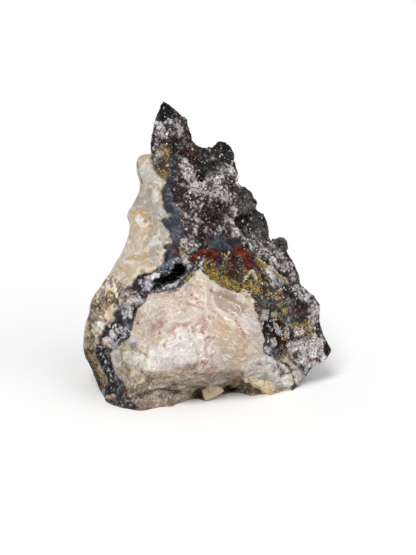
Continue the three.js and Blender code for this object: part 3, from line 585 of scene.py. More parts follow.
# Painted light in the stone table: the grey stroke from 143,183 to 153,184 is a painted shadow under the white crystal
# above it, and the tan stroke from 213,318 to 228,330 is a painted shadow under the pale ridge. The white strokes from
# 226,355 to 231,357 and from 224,355 to 232,358, and the white patch from 130,337 to 137,341, are painted glints.
MARKS_STONE = """
P 190,166,148 .9 1.5 .2 | 137,156 141,154 150,154 152,157 152,163 148,166 144,162 141,163 140,170 139,178 138,170 136,163
P 200,174,156 .8 1.5 0 | 141,155 150,155 150,162 146,162
L 138,116,100 .8 1.3 -.1 | 137.5,158 137.5,168 139,176 140.5,181
P 186,184,180 .95 1.2 .6 | 141,166 144,162 148,165 151,169 154,173 158,177 161,180 162,186 160,187 156,185 152,182 148,181 144,185 142,181 140,173
L 150,144,136 .6 .9 -.2 | 143,183 148,182 153,184
P 66,56,46 .95 .8 -.5 | 140.5,179 143.5,179 142.5,184.5 141,183
P 190,186,180 .9 1.2 .4 | 150,187 155,190 157,197 161,203 163,208 167,214 164,218 160,221 155,214 152,207 151,199
P 166,158,149 .85 3 0 | 141,186 150,188 151,200 153,209 156,218 147,220 138,212 133,206 137,197
L 198,192,182 .6 1 .1 | 144,188 150,196 152,206 157,214
L 146,134,118 .5 .9 -.1 | 148,190 150,200 153,210
P 170,138,88 .85 1.3 0 | 154,190 157,189 161,187 161,193 159,197 156,196
P 186,160,110 .7 1.5 0 | 152,181 157,183 158,187 153,186
P 192,158,98 .85 1.2 0 | 131,211 138,209 144,211 149,214 144,217 138,213 132,214
P 230,222,208 .95 .9 .4 | 135,216 140,215 143,219 147,224 145,228 140,227 136,222
D 170,128,56 .95 1.1 0 | 154,220 149,225.5 154,223 160,221 151,221 157,223 146,222 152,227 149,219
P 196,168,124 .7 2.5 0 | 131,222 137,223 139,229 137,234 131,232
P 188,162,126 .6 3 -.1 | 141,228 152,228 158,226 160,232 150,238 143,236
P 210,202,188 .9 1.5 .4 | 161,222 165,226 169,231 170,237 165,240 160,239 156,236 155,230 158,226
L 150,128,100 .7 .9 -.2 | 155,239 162,241 168,241
P 206,194,176 .8 1.5 .4 | 150,242 158,240 168,241 171,243 163,246 160,252 155,254 151,249
L 190,152,86 .85 1.1 0 | 158,245 164,245
P 208,198,180 .85 1.5 .4 | 150,252 158,252 164,253 166,258 163,264 155,266 150,262
D 190,154,84 .9 1.2 0 | 158,254 163,256 163,260 147,257
L 192,164,112 .8 1.6 0 | 125,260 132,258 140,258 147,256
L 230,218,198 .95 1.7 .35 | 125,262 131,262.5 139,262.5
L 226,214,194 .8 1.3 .2 | 117,266 121,266
P 174,154,130 .6 2 -.2 | 143,240 150,243 151,256 146,258 142,250
P 214,202,186 .8 2 .3 | 134,268 142,266 146,270 140,273
L 186,150,96 .8 1.2 0 | 142,271 147,274 152,272
L 190,152,96 .8 1.1 0 | 118,266 124,270 128,275 124,279
L 188,152,96 .7 .9 0 | 110,276 116,280 120,286
L 226,216,200 .8 .9 .15 | 108,279 114,283 118,288
L 224,214,198 .8 .9 .15 | 122,272 127,279 130,284
L 166,140,104 .6 .8 -.1 | 114,272 120,277 124,283
P 196,174,144 .6 3 0 | 120,270 132,270 134,280 124,284
L 220,208,192 .8 .9 .2 | 146,241 152,238 158,233
L 220,208,192 .8 .9 .2 | 147,247 153,243 160,242
L 220,208,192 .8 .9 .2 | 148,261 156,258 163,259
L 168,146,116 .6 .8 -.15 | 128,236 134,244 137,254
P 186,164,132 .5 3 0 | 132,254 146,250 150,262 136,266
P 150,126,104 .5 2.5 0 | 104,290 114,290 112,298 102,298
P 206,192,172 .8 3 .1 | 104,286 112,278 122,284 118,292 108,296
P 130,104,80 .7 2.2 -.1 | 100,296 110,294 118,301 112,306 102,304
D 176,140,50 .95 1.8 0 | 94,301 96,303 108,305
D 72,40,30 .95 1.7 -.1 | 95,307 97,306
L 66,58,48 .9 1.3 -.4 | 111,292 114,297 117,303 119,307
L 170,140,70 .7 1 0 | 109,292 113,296
P 198,180,152 .8 3 .2 | 94,311 108,308 113,312 110,320 98,320 92,318
L 108,88,68 .7 1.3 -.2 | 90,320 100,319 107,321
P 226,218,204 .95 1.8 .4 | 92,324 98,320 105,324 108,330 102,334 94,332
L 242,236,226 .8 .8 .2 | 93,330 98,326 102,322
L 176,164,146 .7 .7 -.1 | 97,333 100,327 103,324
P 214,176,150 .9 1.5 .2 | 106,318 110,317 112,322 107,325
D 228,218,206 .95 1.3 .2 | 116,325 111,324
P 116,96,76 .8 2.5 -.1 | 86,334 96,334 96,342 90,344
P 150,130,104 .7 2.5 0 | 88,322 94,334 90,346 86,340
P 200,184,170 .85 2 .3 | 99,338 106,334 112,340 110,346 103,346
P 208,164,138 .8 1.3 .1 | 102,338 107,338 107,343 103,343
P 84,64,40 .97 1.4 -.1 | 76,349 94,349 96,358 99,366 105,377 110,388 111,398 101,402 90,384 80,366
P 42,32,24 .85 1.3 -.1 | 88,357 92,359 96,366 94,366 90,362
P 40,31,24 .85 1.3 -.1 | 97,374 101,380 104,388 100,388 96,378
P 58,46,34 .85 1.3 0 | 100,381 106,383 108,389 103,389
P 150,140,124 .85 1 .1 | 92,362 95,364 96,368 93,366
L 158,122,36 .9 .9 .1 | 94,366 97,370 101,376 105,381
D 190,146,34 .98 1.1 .1 | 97,371
D 166,126,44 .9 .9 0 | 91,358 100,379 105,386
L 120,92,48 .8 1 0 | 88,352 91,357 95,363
L 124,100,50 .7 1.4 0 | 90,356 98,370 104,382
D 66,44,36 .92 1.1 -.1 | 104,297 107,298.5 110,303 113,302 115,305.5 102,304 98,299 100,308 106,307 95,297 93,305
D 156,128,34 .92 1.1 .05 | 110,293 109,307 107,309 102,321 100,309.5 112,290 96,303 91,307 88,327
D 222,176,140 .9 1.1 .1 | 110,319 111,322 107,324
D 84,64,40 .85 1.2 -.05 | 90,330 93,336 96,344 90,345 100,334 87,338
D 236,228,216 .9 1 .2 | 96,322 101,325 98,328 105,327 93,326
P 214,196,182 .55 3 0 | 140,310 150,298 166,298 180,294 192,300 204,306 206,340 190,350 150,346 136,330
P 218,206,194 .85 2 .3 | 150,299 158,297 165,300 160,306 152,306 146,310 142,316 140,308
L 232,222,212 .8 1 .2 | 152,305 158,308
L 232,222,212 .8 1 .2 | 175,315 182,311
L 192,162,146 .7 1.4 0 | 160,312 166,308 172,304
P 200,172,154 .7 2 -.2 | 163,305 170,303 173,306 168,310 162,310
P 206,182,158 .8 2.5 .2 | 184,300 192,297 199,300 196,308 186,309
P 178,154,128 .7 2 0 | 137,310 145,311 145,318 138,318
D 128,84,60 .95 2 0 | 138,323
L 194,166,152 .6 3 -.15 | 150,328 156,324 163,320
L 190,154,138 .75 2.2 -.15 | 174,327 184,325 193,326
L 198,164,150 .8 2 -.1 | 169,332 175,334 181,337
L 202,178,164 .8 2.2 0 | 140,336 147,333 154,334
L 190,150,136 .7 2.5 -.1 | 192,330 198,324 204,318
D 156,96,86 .9 1.4 0 | 159.5,332
D 150,130,124 .8 1.1 0 | 159,338
L 186,148,136 .75 2.6 -.15 | 208,318 205,326 203,333
D 196,134,104 .9 1.6 0 | 203,333 192,295 196,299
D 196,150,138 .85 2 0 | 209,337 214,337
P 228,220,212 .9 3.5 .3 | 165,344 175,342 190,345 200,342 205,350 200,360 185,362 170,362 158,360 150,356 150,349 158,346
L 242,238,232 .9 1.4 .2 | 182,328 183,338
L 240,234,228 .8 1 .2 | 200,328 196,336
L 240,234,228 .8 1 .2 | 192,345 200,352
L 240,234,228 .8 1 .2 | 198,352 204,362
L 240,234,228 .8 1.1 .2 | 172,336 168,344
L 204,168,158 .8 1.6 -.15 | 188,340 194,346 198,354
L 206,172,162 .8 1.8 -.15 | 207,344 205,352 207,360
L 198,160,150 .55 1.6 -.1 | 211,348 211,358 213,366
L 236,228,222 .8 1.5 .2 | 203,350 203,360
L 236,228,222 .8 1.2 .2 | 213,342 210,350
P 226,212,204 .85 1.8 .3 | 216,346 220,352 224,360 228,366 222,369 215,367 213,358
P 150,124,110 .9 1.8 -.1 | 170,363 180,364 190,365 198,364 201,367 198,371 185,371 172,370
L 148,92,76 .9 1.6 0 | 200,362 206,362 209,367
L 184,136,122 .8 1.8 0 | 209,370 216,368
P 206,184,140 .6 1.8 0 | 152,338 157,336 158,343 153,344
D 182,140,56 .98 1.4 0 | 164.5,345.5
P 216,194,168 .9 1.2 .3 | 197,274 203,276 207,281 210,289 211,297 207,303 200,305 194,300 191,290 193,280
L 224,214,204 .9 2 .3 | 197,272 206,278 212,284 219,288
P 172,149,135 .9 1.6 -.25 | 211,291 218,292 228,291 236,295 244,302 250,306 247,311 240,315 232,316 226,312 220,308 216,301 212,296
L 162,134,116 .85 1.7 -.2 | 211,291 216,294 222,296
L 158,132,112 .7 2 -.2 | 222,293 232,296 240,300
L 228,216,206 .85 .9 .15 | 220,311 228,316
L 228,216,206 .85 .9 .15 | 229,301 234,302
L 226,212,200 .85 1 .15 | 238,298 243,302
L 230,214,190 .9 2 .4 | 211,313 216,318 222,322 229,327 233,328
L 196,164,132 .8 1.1 -.2 | 213,318 220,324 228,330
P 214,188,158 .9 1.8 0 | 214,318 222,323 230,329 236,332 243,345 240,360 228,356 222,350 219,340 215,330
P 200,166,132 .7 1.3 -.1 | 221,324 230,330 227,333 220,328
P 222,206,198 .92 1.2 .35 | 238,319 246,312 254,316 259,324 261,332 255,335 247,334 241,327
L 238,226,218 .8 .9 .15 | 242,318 248,322 256,324
L 238,226,218 .8 .9 .15 | 243,325 250,329 258,331
L 190,150,118 .9 1.2 -.25 | 236,321 240,327 244,335
P 212,188,174 .85 1.6 0 | 246,334 255,336 264,345 258,350 250,345
P 226,210,188 .9 1.6 .3 | 249,346 258,352 262,357 256,364 248,362 246,354
L 190,162,110 .7 1 -.1 | 250,356 255,353 260,350
L 206,172,132 .7 2 -.1 | 241,342 244,350 246,360
D 198,158,114 .8 1.6 0 | 243,344
P 208,188,164 .9 1.6 -.1 | 222,350 232,353 240,358 244,366 236,370 226,370 220,362
L 244,236,226 .9 .9 .15 | 226,355 231,357
D 240,230,220 .8 1 .15 | 232,337 230,343 236,350
L 236,226,214 .8 .7 .15 | 149,302 154,300 160,300
L 236,226,214 .8 .7 .15 | 143,313 148,311
L 232,220,208 .8 .7 .15 | 156,318 163,316 169,317
L 236,226,214 .8 .7 .15 | 171,300 177,298 182,300
L 232,220,208 .7 .7 .15 | 185,306 190,309 194,307
L 236,226,214 .8 .8 .15 | 168,322 175,320 182,321 187,319
L 232,220,208 .7 .7 .15 | 152,334 158,332 166,333
L 172,140,122 .7 .7 -.15 | 148,321 154,320 160,322 166,320
L 172,140,122 .6 .7 -.15 | 174,307 180,309 186,312
L 166,134,114 .6 .6 -.15 | 192,285 197,288 202,287
L 238,228,216 .85 .8 .2 | 196,276 201,281 204,288 206,296 205,303
L 238,228,216 .85 .8 .2 | 205,303 208,311 207,319 209,326
L 236,224,210 .8 .7 .15 | 211,298 215,306 221,311 229,315 238,317
L 240,230,218 .8 .7 .15 | 226,317 233,321 239,327 242,334
L 240,230,218 .75 .6 .15 | 216,330 222,335 226,342
L 240,230,218 .75 .6 .15 | 228,346 234,349 240,348 244,343
L 240,230,218 .75 .6 .15 | 222,356 229,361 238,362 246,358
L 236,222,206 .75 .6 .15 | 247,308 252,313 255,319
L 236,222,206 .75 .6 .15 | 250,339 256,343 260,350
L 160,124,98 .6 .6 -.15 | 222,300 229,298 236,302
L 160,124,98 .6 .6 -.15 | 229,338 234,343 237,351
L 244,238,230 .85 .9 .2 | 160,350 166,346 173,347
L 244,238,230 .85 .9 .2 | 170,357 178,353 186,355 192,351
L 244,238,230 .85 .9 .2 | 178,340 184,343 188,349
L 206,176,160 .6 1 -.15 | 158,356 166,359 175,361
L 206,176,166 .6 .9 -.15 | 176,346 183,350 190,347
P 234,228,221 .7 2.6 .2 | 149,348 156,346 166,347 174,350 172,358 160,360 150,356
P 234,229,223 .6 2.4 .2 | 174,329 182,327 189,331 188,336 178,336
P 234,228,223 .6 2.4 .2 | 178,340 188,340 196,346 194,354 182,354
P 236,230,224 .8 1.6 .2 | 184,358 194,358 200,362 190,363
P 200,162,148 .5 2.4 -.1 | 151,323 158,320 165,322 163,328 155,332 150,329
P 198,158,144 .5 2 -.1 | 169,325 178,323 188,324 186,327 174,329
P 196,154,142 .5 2 -.1 | 199,320 205,316 209,320 206,330 201,334
P 184,146,130 .65 1.8 -.1 | 202,365 210,364 216,368 212,372 203,370
P 206,202,194 .95 1.3 .5 | 111,353 115,350 121,353 122,359 117,364 112,361
P 206,196,182 .85 2 .1 | 121,352 132,352 138,358 136,366 128,364 123,360
L 126,102,66 .85 1 -.3 | 121,358 125,364 129,371 131,376
P 224,218,208 .9 2 .3 | 138,356 148,362 158,364 160,370 150,372 142,368
P 170,136,88 .9 1.2 0 | 118,349 128,350 138,349 145,354 149,358 148,362 143,360 136,355 128,353 120,352
P 184,136,30 .98 1 .25 | 146,356 149,357 150,361 147,362 145,359
P 150,100,56 .85 1 0 | 130,352 136,352 135,355 131,355
P 92,98,106 .8 3 -.1 | 129,342 136,342 138,349 132,350 128,347
P 212,212,214 .8 2.2 .2 | 130,337 137,337 137,341 131,342
P 150,136,104 .7 1.5 0 | 121,342 128,341 127,348 121,347
L 186,176,162 .7 1 .1 | 140,364 146,370 152,373 160,371
P 186,170,148 .9 1.1 .5 | 131,371 138,370 142,374 146,381 140,384 134,382 130,376
L 82,64,44 .85 1.2 -.3 | 138,371 143,375 148,378 151,381
D 148,112,52 .95 1.6 0 | 150,376 147,381
P 152,136,114 .7 2 0 | 124,364 130,366 134,378 130,384 125,376
L 176,144,94 .6 1.2 0 | 152,371 160,372 168,373 176,371 184,370 192,370
P 138,120,98 .7 3 0 | 129,386 150,384 160,388 150,394 136,395 128,392
L 56,42,32 .95 1.3 -.4 | 122,398 130,398 138,396 146,394 152,391 158,390 165,389
L 180,170,158 .8 1.5 .2 | 150,388 156,386 163,386
L 172,162,152 .7 1.2 .2 | 160,396 166,391
L 174,162,150 .7 1.2 .1 | 142,402 150,398 158,394
P 178,154,138 .85 2 .2 | 140,400 150,397 160,397 170,395 176,396 174,403 160,406 148,408 138,406
P 118,102,88 .7 1.5 -.1 | 166,398 173,397 172,404 167,405
P 70,56,44 .95 1.5 -.7 | 166,387 171,388 175,391 181,391 183,394 179,396 172,395 167,391
P 190,180,170 .9 1.5 .4 | 178,385 183,384 187,388 184,391 179,390
P 96,78,76 .8 1.5 -.1 | 170,383 176,380 177,385 172,387
P 152,138,124 .8 2 .2 | 172,378 188,376 192,384 184,386 176,382
L 82,68,58 .7 .9 -.2 | 186,388 194,387 200,386
L 68,54,46 .7 .9 -.2 | 196,376 204,374 212,374
L 90,74,62 .6 .9 -.2 | 150,379 162,378 170,377
P 152,132,112 .7 2 0 | 184,388 200,388 198,392 188,398 182,398
P 164,148,128 .95 1.2 .5 | 201,390 208,387 216,386 222,388 224,391 218,396 210,400 205,401 203,396
P 160,132,90 .7 1.3 0 | 202,390 208,389 206,394
L 122,106,88 .7 .8 -.1 | 216,387 218,394
P 134,122,110 .8 2 0 | 200,376 214,372 226,374 236,376 226,384 214,386 202,386
L 184,176,166 .8 1 .15 | 200,380 206,378 212,377
L 184,176,166 .8 1 .15 | 210,384 218,382 226,380
P 140,120,104 .8 2 0 | 220,371 232,370 244,371 244,377 232,378 222,376
P 46,36,28 .95 1.5 -1.2 | 224,388 230,386 238,389 246,391 240,394 230,392 225,391
P 118,94,60 .92 1.6 -.2 | 242,382 250,382 258,389 266,394 252,397 240,394
L 140,112,60 .85 1 -.1 | 243,383 250,385 257,390
P 146,114,70 .9 2 -.4 | 228,382 234,378 240,376 242,381 244,388 236,388 230,386
D 178,160,130 .8 1.4 .1 | 236,382 232,384
P 200,193,184 .9 2 .3 | 243,370 252,366 264,364 276,368 282,376 286,386 278,389 270,384 258,378 246,378
P 206,202,196 .9 2 .3 | 262,358 270,356 278,360 284,366 286,374 280,372 272,366 264,364
P 206,198,186 .85 2 .1 | 250,362 260,360 264,368 258,374 250,370
P 212,208,204 .85 2 .2 | 284,366 290,374 292,384 286,388 280,380
P 204,200,198 .85 2 .1 | 290,364 300,366 302,374 299,382 296,374
P 150,150,152 .7 1.2 -.1 | 264,360 270,361 274,366 270,368
P 218,214,208 .9 1.3 .4 | 266,356 272,357 275,362 269,362
P 216,210,202 .9 1.3 .4 | 284,376 290,378 292,384 286,386 282,381
P 212,206,198 .85 1.3 .3 | 252,368 258,366 262,370 256,374
D 120,120,122 .7 1.2 -.1 | 260,364 274,372 282,374 268,376
P 210,206,200 .85 1.3 .3 | 297,370 302,371 300,378 296,377
L 56,60,68 .9 1.1 -.3 | 277,362 281,368 284,372 281,376
P 172,166,165 .9 1.2 .2 | 290,360 296,364 304,368 306,374 303,382 300,388 298,382 296,374 293,368
D 206,203,202 .85 .9 .25 | 297,372 299,378 295,366 301,372 299,384 303,376 297,368
D 128,122,122 .8 1.0 0 | 300,368 298,375 302,379 299,381 296,370
L 46,52,62 .95 1.15 -.35 | 279,361 284,363 289,366 292,371 294,377 295,383 296.5,388
P 44,52,64 .95 1.0 -.3 | 292,386 294,384 297,385 298,389 295,391.5 291,391
L 60,54,54 .9 .9 -.3 | 276.5,363 279,367 281,371 283.5,374
L 66,70,80 .9 .9 -.2 | 284.5,374.5 288.5,373.5 292.5,371.5
P 206,190,176 .9 1.0 .2 | 287,377 290,375 292.5,377 291.5,381 288.5,382
P 222,220,217 .9 1.1 .3 | 281,383 284,381 287,384 286,387.5 282,388
P 220,216,210 .9 1.0 .3 | 282,366 286,367 288.5,370.5 286,373 283,371
P 54,58,64 .9 1.3 -.1 | 290,386 297,384 297,391 291,392
L 146,144,142 .7 1 -.1 | 266,362 272,366 276,368
D 212,192,166 .9 2.5 .3 | 290,378
P 210,184,148 .95 1.5 .5 | 250,378 258,378 266,380 270,386 276,390 272,394 268,396 262,392 256,388 250,382
L 172,132,82 .85 1 -.1 | 256,386 262,389 268,394
L 186,148,96 .8 1 0 | 264,380 268,380 267,386
L 230,212,184 .8 1 .1 | 251,379 258,382 266,384
P 108,90,64 .9 2 -.5 | 241,380 246,383 254,387 262,392 268,395 256,396 244,394 236,390 238,384
P 206,182,160 .5 2.0 0 | 213,292 222,294 232,302 242,312 240,320 232,318 222,310 215,302
P 210,184,158 .45 2.0 0 | 162,298 185,296 190,306 180,316 166,318 158,308
P 214,200,160 .5 1.6 0 | 154,333 161,332 164,338 161,346 155,344
P 242,236,230 .5 2.0 .2 | 148,352 160,347 176,350 188,356 186,366 172,370 156,372 146,368
P 172,132,112 .6 1.0 -.1 | 148,331 152,326 159,322 163,321 163,326 157,330
L 178,126,106 .75 .7 -.1 | 172,330 178,327.5 185,326 192,326.5
L 240,234,226 .85 .6 .2 | 166,324 170,322 176,321 184,323 192,318 198,313
L 242,236,228 .85 .6 .2 | 172,318 176,314 181,311
L 246,244,240 .9 .7 .3 | 182,330 186,336 188,342
L 246,244,240 .9 .7 .3 | 190,329 192,336 197,343
L 246,244,240 .9 .7 .3 | 175,341 178,335 184,333 190,334
L 244,240,236 .9 .7 .3 | 192,341 198,338 203,341 204,347
L 240,234,228 .85 .6 .2 | 150,318 154,314 160,310 168,309
L 238,230,222 .85 .6 .2 | 140,322 146,318 150,312 151,304
L 176,134,114 .6 .7 -.2 | 186,306 190,304 198,306 204,309
D 176,132,44 .95 .9 .1 | 164.5,345 165,346
L 206,164,120 .75 .9 -.1 | 233,326 240,334 246,341 247,350 243,358 238,362
L 246,240,230 .9 .7 .3 | 216,309 222,315 228,320 234,326
L 182,150,124 .65 .8 -.2 | 213,311 221,320 229,328
L 242,234,228 .85 .7 .2 | 239,318 246,322 252,330
L 242,234,228 .85 .7 .2 | 242,315 249,319 255,325
L 238,228,222 .85 .7 .2 | 240,325 245,331 250,334
L 164,114,88 .75 .7 -.3 | 236,321 241,330 246,338
L 244,240,234 .9 .6 .2 | 224,355 228,356 232,358
L 240,234,224 .85 .7 .2 | 246,352 250,346 256,342
D 168,60,44 .9 .8 0 | 196,298.5 198,302 160,333 157,336 208,337 200,364 212,368
P 196,188,176 .85 1.4 .2 | 111,353 116,350 122,352 124,358 121,366 115,366 111,361
P 210,198,180 .8 1.6 .15 | 123,352 131,350 140,354 146,361 140,364 131,363 124,359
P 240,232,220 .75 1.4 .12 | 138,352 145,356 151,362 155,367 157,370 152,372.5 147,370.5 142,366 137,361 134,357
P 178,164,144 .7 1.2 -.1 | 122,364 130,364 138,368 146,376 142,380 132,374 124,372
L 240,236,230 .9 .7 .3 | 114,354 118,351.5 122,354
L 242,238,232 .9 .7 .3 | 126,353 132,352 138,355 143,360
L 120,104,84 .7 .8 -.2 | 122,353 123,359 122,365 126,369 133,372
L 150,130,104 .6 .8 -.2 | 140,371 146,377 151,380 156,380
D 168,140,96 .7 1.0 0 | 118,369 121,372 115,368 127,367 150,372
L 226,222,214 .85 .8 .2 | 244,369 250,367 256,370 262,368
L 228,224,218 .85 .8 .2 | 262,360 268,357.5 274,360 279,364
L 150,142,132 .6 .8 -.2 | 248,376 254,373 260,374 266,372
L 222,218,212 .85 .8 .2 | 268,372 274,374 280,379 284,384
L 146,140,134 .6 .8 -.2 | 266,377 272,380 277,385
D 236,230,216 .95 .9 .2 | 236,290.5 239,292.5 243,293.5 246,295 250,294.5 253,297 256,296.5 258,300 255,301.5 251,299.5 247,298 257,305 258,310 256,308
D 74,60,42 .9 .8 -.1 | 238,291 242,292.5 248,296 252,295.5 255,299 257,303 254,304 246,297 258,307
D 178,140,56 .9 .8 .1 | 241,293 245,294.5 250,297.5 254,295 256,303
"""
# Painted highlights in the veins table: the white spots at 98.5,346.5 and 110.5,375.5, and the pale spots from 100,354
# to 114,389, are painted glints. They are laid into the skin and onto the grains set there.
MARKS_VEINS = """
P 70,62,62 .85 1.5 0 | 161,193 166,192 168,200 173,207 171,213 165,208 162,202
P 106,118,132 .75 1.5 0 | 170,186 173,192 176,200 179,208 180,216 176,214 171,204 168,192
P 66,70,80 .8 1.5 0 | 161,221 168,218 176,218 180,224 176,232 169,228 164,224
P 92,102,116 .7 2 0 | 172,226 181,226 182,236 178,244 172,240
P 86,66,68 .85 1.5 0 | 172,243 178,244 178,256 172,258 170,250
L 110,48,42 .6 .9 0 | 175,247 177,252
L 24,24,28 .9 1.3 -0.2 | 178,206 181,212 182,218
L 30,32,38 .8 1.2 -0.1 | 163,248 168,252 166,260 170,264
P 150,146,144 .7 1.5 0.045 | 164,214 170,213 170,217 166,219
P 76,78,84 .95 1.5 0 | 150,293 160,291 170,289 178,288 184,283 190,276 196,270 199,272 192,280 186,287 179,291 168,294 156,297 150,297
L 156,128,50 .9 1.2 0.045 | 154,295 162,294 170,292 178,291
L 150,128,64 .8 1.3 0.045 | 184,281 189,276 195,272
D 160,134,60 .85 1.1 0.045 | 197,262 200,265 195,266 202,260
P 132,136,148 .6 2 0.045 | 143,283 150,283 151,288 146,290
P 178,176,184 .85 .9 0.09 | 146,293 151,291 150,296 146,297
P 74,67,72 .92 1.3 0 | 130,284 134,279 140,277 147,280 152,284 153,292 148,299 142,299 136,292 129,289
P 172,166,162 .9 1.2 .05 | 143,276 150,274.5 154,278 151,281 145,280
P 158,150,146 .85 1.5 .05 | 147,282 153,281 156,286 152,289 147,288
P 124,124,133 .85 1.1 .05 | 139,281 147,280.5 150,287 147,292 141,289
D 206,206,214 .9 .9 .05 | 140,283 142.5,286.5 144,289.5 145.5,283 148,288.5
L 40,38,42 .85 .8 -.05 | 139,278 143,276 148,274.5 153,272
P 150,132,126 .9 1.5 0 | 121,291 128,288 136,290 140,296 132,297 120,299
P 160,150,147 .92 1.3 .1 | 120,299 127,297 134,295 141,298 146,300 142,305 135,305 128,309 121,307
P 168,166,173 .8 1.2 .05 | 132,299 138,300 138,304 133,304
P 164,112,86 .85 1.1 0 | 120,301 123,301 123.5,307 120,307
D 40,22,26 .92 1 -.05 | 125,285 127,287 129,286 133,288 135,289.5 131,291 134,294 138,293 141,295 144,293 146,296 129,294 126,297 137,297 148,291 140,290
D 54,40,46 .85 1.1 0 | 137,281 139,285 142,288 145,291 134,285 136,287 143,280 151,289
D 188,188,198 .88 .8 .06 | 141,281 144,283.5 142,285.5 146,287 148,285 139,283 143,290 150,292 152,294 136,292 139,297 133,292.5
P 62,65,72 .97 1.1 -.05 | 113,313 118,310 121,313 122,319 126,321 131,318 135,321 132,326 124,324 116,326 113,321
P 72,58,58 .8 1.3 0 | 117,313 121,316 121,320 117,319
P 158,157,164 .92 1.1 .08 | 121,311 126,309.5 131,308 133,313 131,319 125,317 121,315
D 24,24,28 .9 .9 -.05 | 124,312 126,313.5 129,311 131,313 133,309 128,316.5 122,317 131,306 134,311
P 22,23,27 .92 1 -.08 | 133,308 137,306 138,309 135,313 134.5,320 131.5,323 132,315
L 150,116,44 .9 .7 .05 | 138,308 135.5,314 135,320
P 118,118,126 .92 1.2 .05 | 115,327 123,325 131,325 130,331 127,337 121,339 117,333
D 196,196,204 .88 .8 .08 | 121,327 124,329.5 127,328 122,333.5 126,334 119.5,337 124,337.5 129,331 118,329
D 34,34,38 .88 .9 -.05 | 120,330 125,331.5 123,326 128,334 121,336 126,338.5 117,327.5
P 92,64,58 .88 1.3 0 | 104,329 109,324 114,322.5 114,326 109,330 105,332
P 10,10,12 1 .8 -.6 | 115,335 117.5,331 121,335.5 117.5,340 113,340
P 196,193,196 .92 1 .1 | 109,331 114,331 116,335.5 113,338.5 110,337
D 244,240,236 .95 1 .1 | 115.5,325.5
D 224,160,122 .9 1.1 .05 | 110,320.5 108.5,322.5
D 30,20,22 .9 1 -.05 | 111,325.5 107,329 105,333 103,336
P 170,160,158 .9 1.3 .08 | 101,341 106,336 111,339 115,344 112,349 106,347 102,345
P 198,160,138 .75 1.2 .05 | 102,339 107,338 108,343 103,343
P 140,138,144 .88 1.1 .05 | 114,338 119,340 119,345 114,349 111,347
D 206,204,208 .88 .8 .08 | 112,343 116,343 118,339.5 113,347.5 109,345 121,343
P 20,21,24 .97 1.3 -.1 | 95,347 100,343.5 105,346 104,352 109,359 112,367 115,372 113,378 107,378 103,371 98,362 95,355
P 96,86,66 .85 1.3 0 | 105,347 110,348 111,357 107,357
P 60,52,40 .8 1.4 0 | 107,357 110,358 112,366 109,363
D 118,117,120 .85 .9 .05 | 100,350 103,354 98,355 105,361 108,364 104,366 101,360 110,369 107,373 112,372 97,350 106,369
D 62,60,62 .8 1.3 0 | 101,353 104,358 107,366 109,372 99,358
D 232,232,236 1 .9 .05 | 98.5,346.5 110.5,375.5
P 132,128,126 .85 1.3 .05 | 114,373 119,376 123,381 118,381 114,378
P 62,63,68 .95 1.3 0 | 109,380 117,378 122,384 120,391 118,397 110,396 108,388
P 14,15,17 .92 1.2 -.08 | 109,387 117,387 118,393 111,396
D 136,134,136 .85 .9 .05 | 113,382 117,384 115,379 120,386 112,391 118,390 121,380 116,396
P 158,156,154 .92 1.4 .1 | 103,390 107,388 109,392 108,397 105,397
P 170,140,128 .85 1.3 .05 | 108,398 113,396 117,395 116,400 110,401
P 78,68,66 .92 1.5 0 | 108,401 118,398 128,400 135,404 140,409 124,409.5 111,406.5
D 148,138,132 .85 1 .05 | 112,403 117,401.5 121,402 126,401 130,405 122,406 115,405.5
D 36,26,22 .88 1 -.05 | 119,404 127,403.5 133,407 124,407.5 131,402
P 128,88,62 .85 1.5 0 | 121,386 126,387 129,392 127,396 122,395
D 40,26,20 .9 1 -.05 | 122,392 126,394 124,388 128,397
D 226,226,230 .95 .8 .2 | 126,313 129,316 131,312 124,318 110,325 113,327 116,329 112,330.5 118,332 107,323 133,309 121,330
D 20,20,24 .92 1.1 -.1 | 119,322 121,325 117,335 115.5,332.5 123,321 104,350 101,358 105,368 108,376 113,384
D 196,196,202 .95 .6 .1 | 100,354 103,357.5 105,362 110,374 111,381 102,348 107,371 114,389
"""
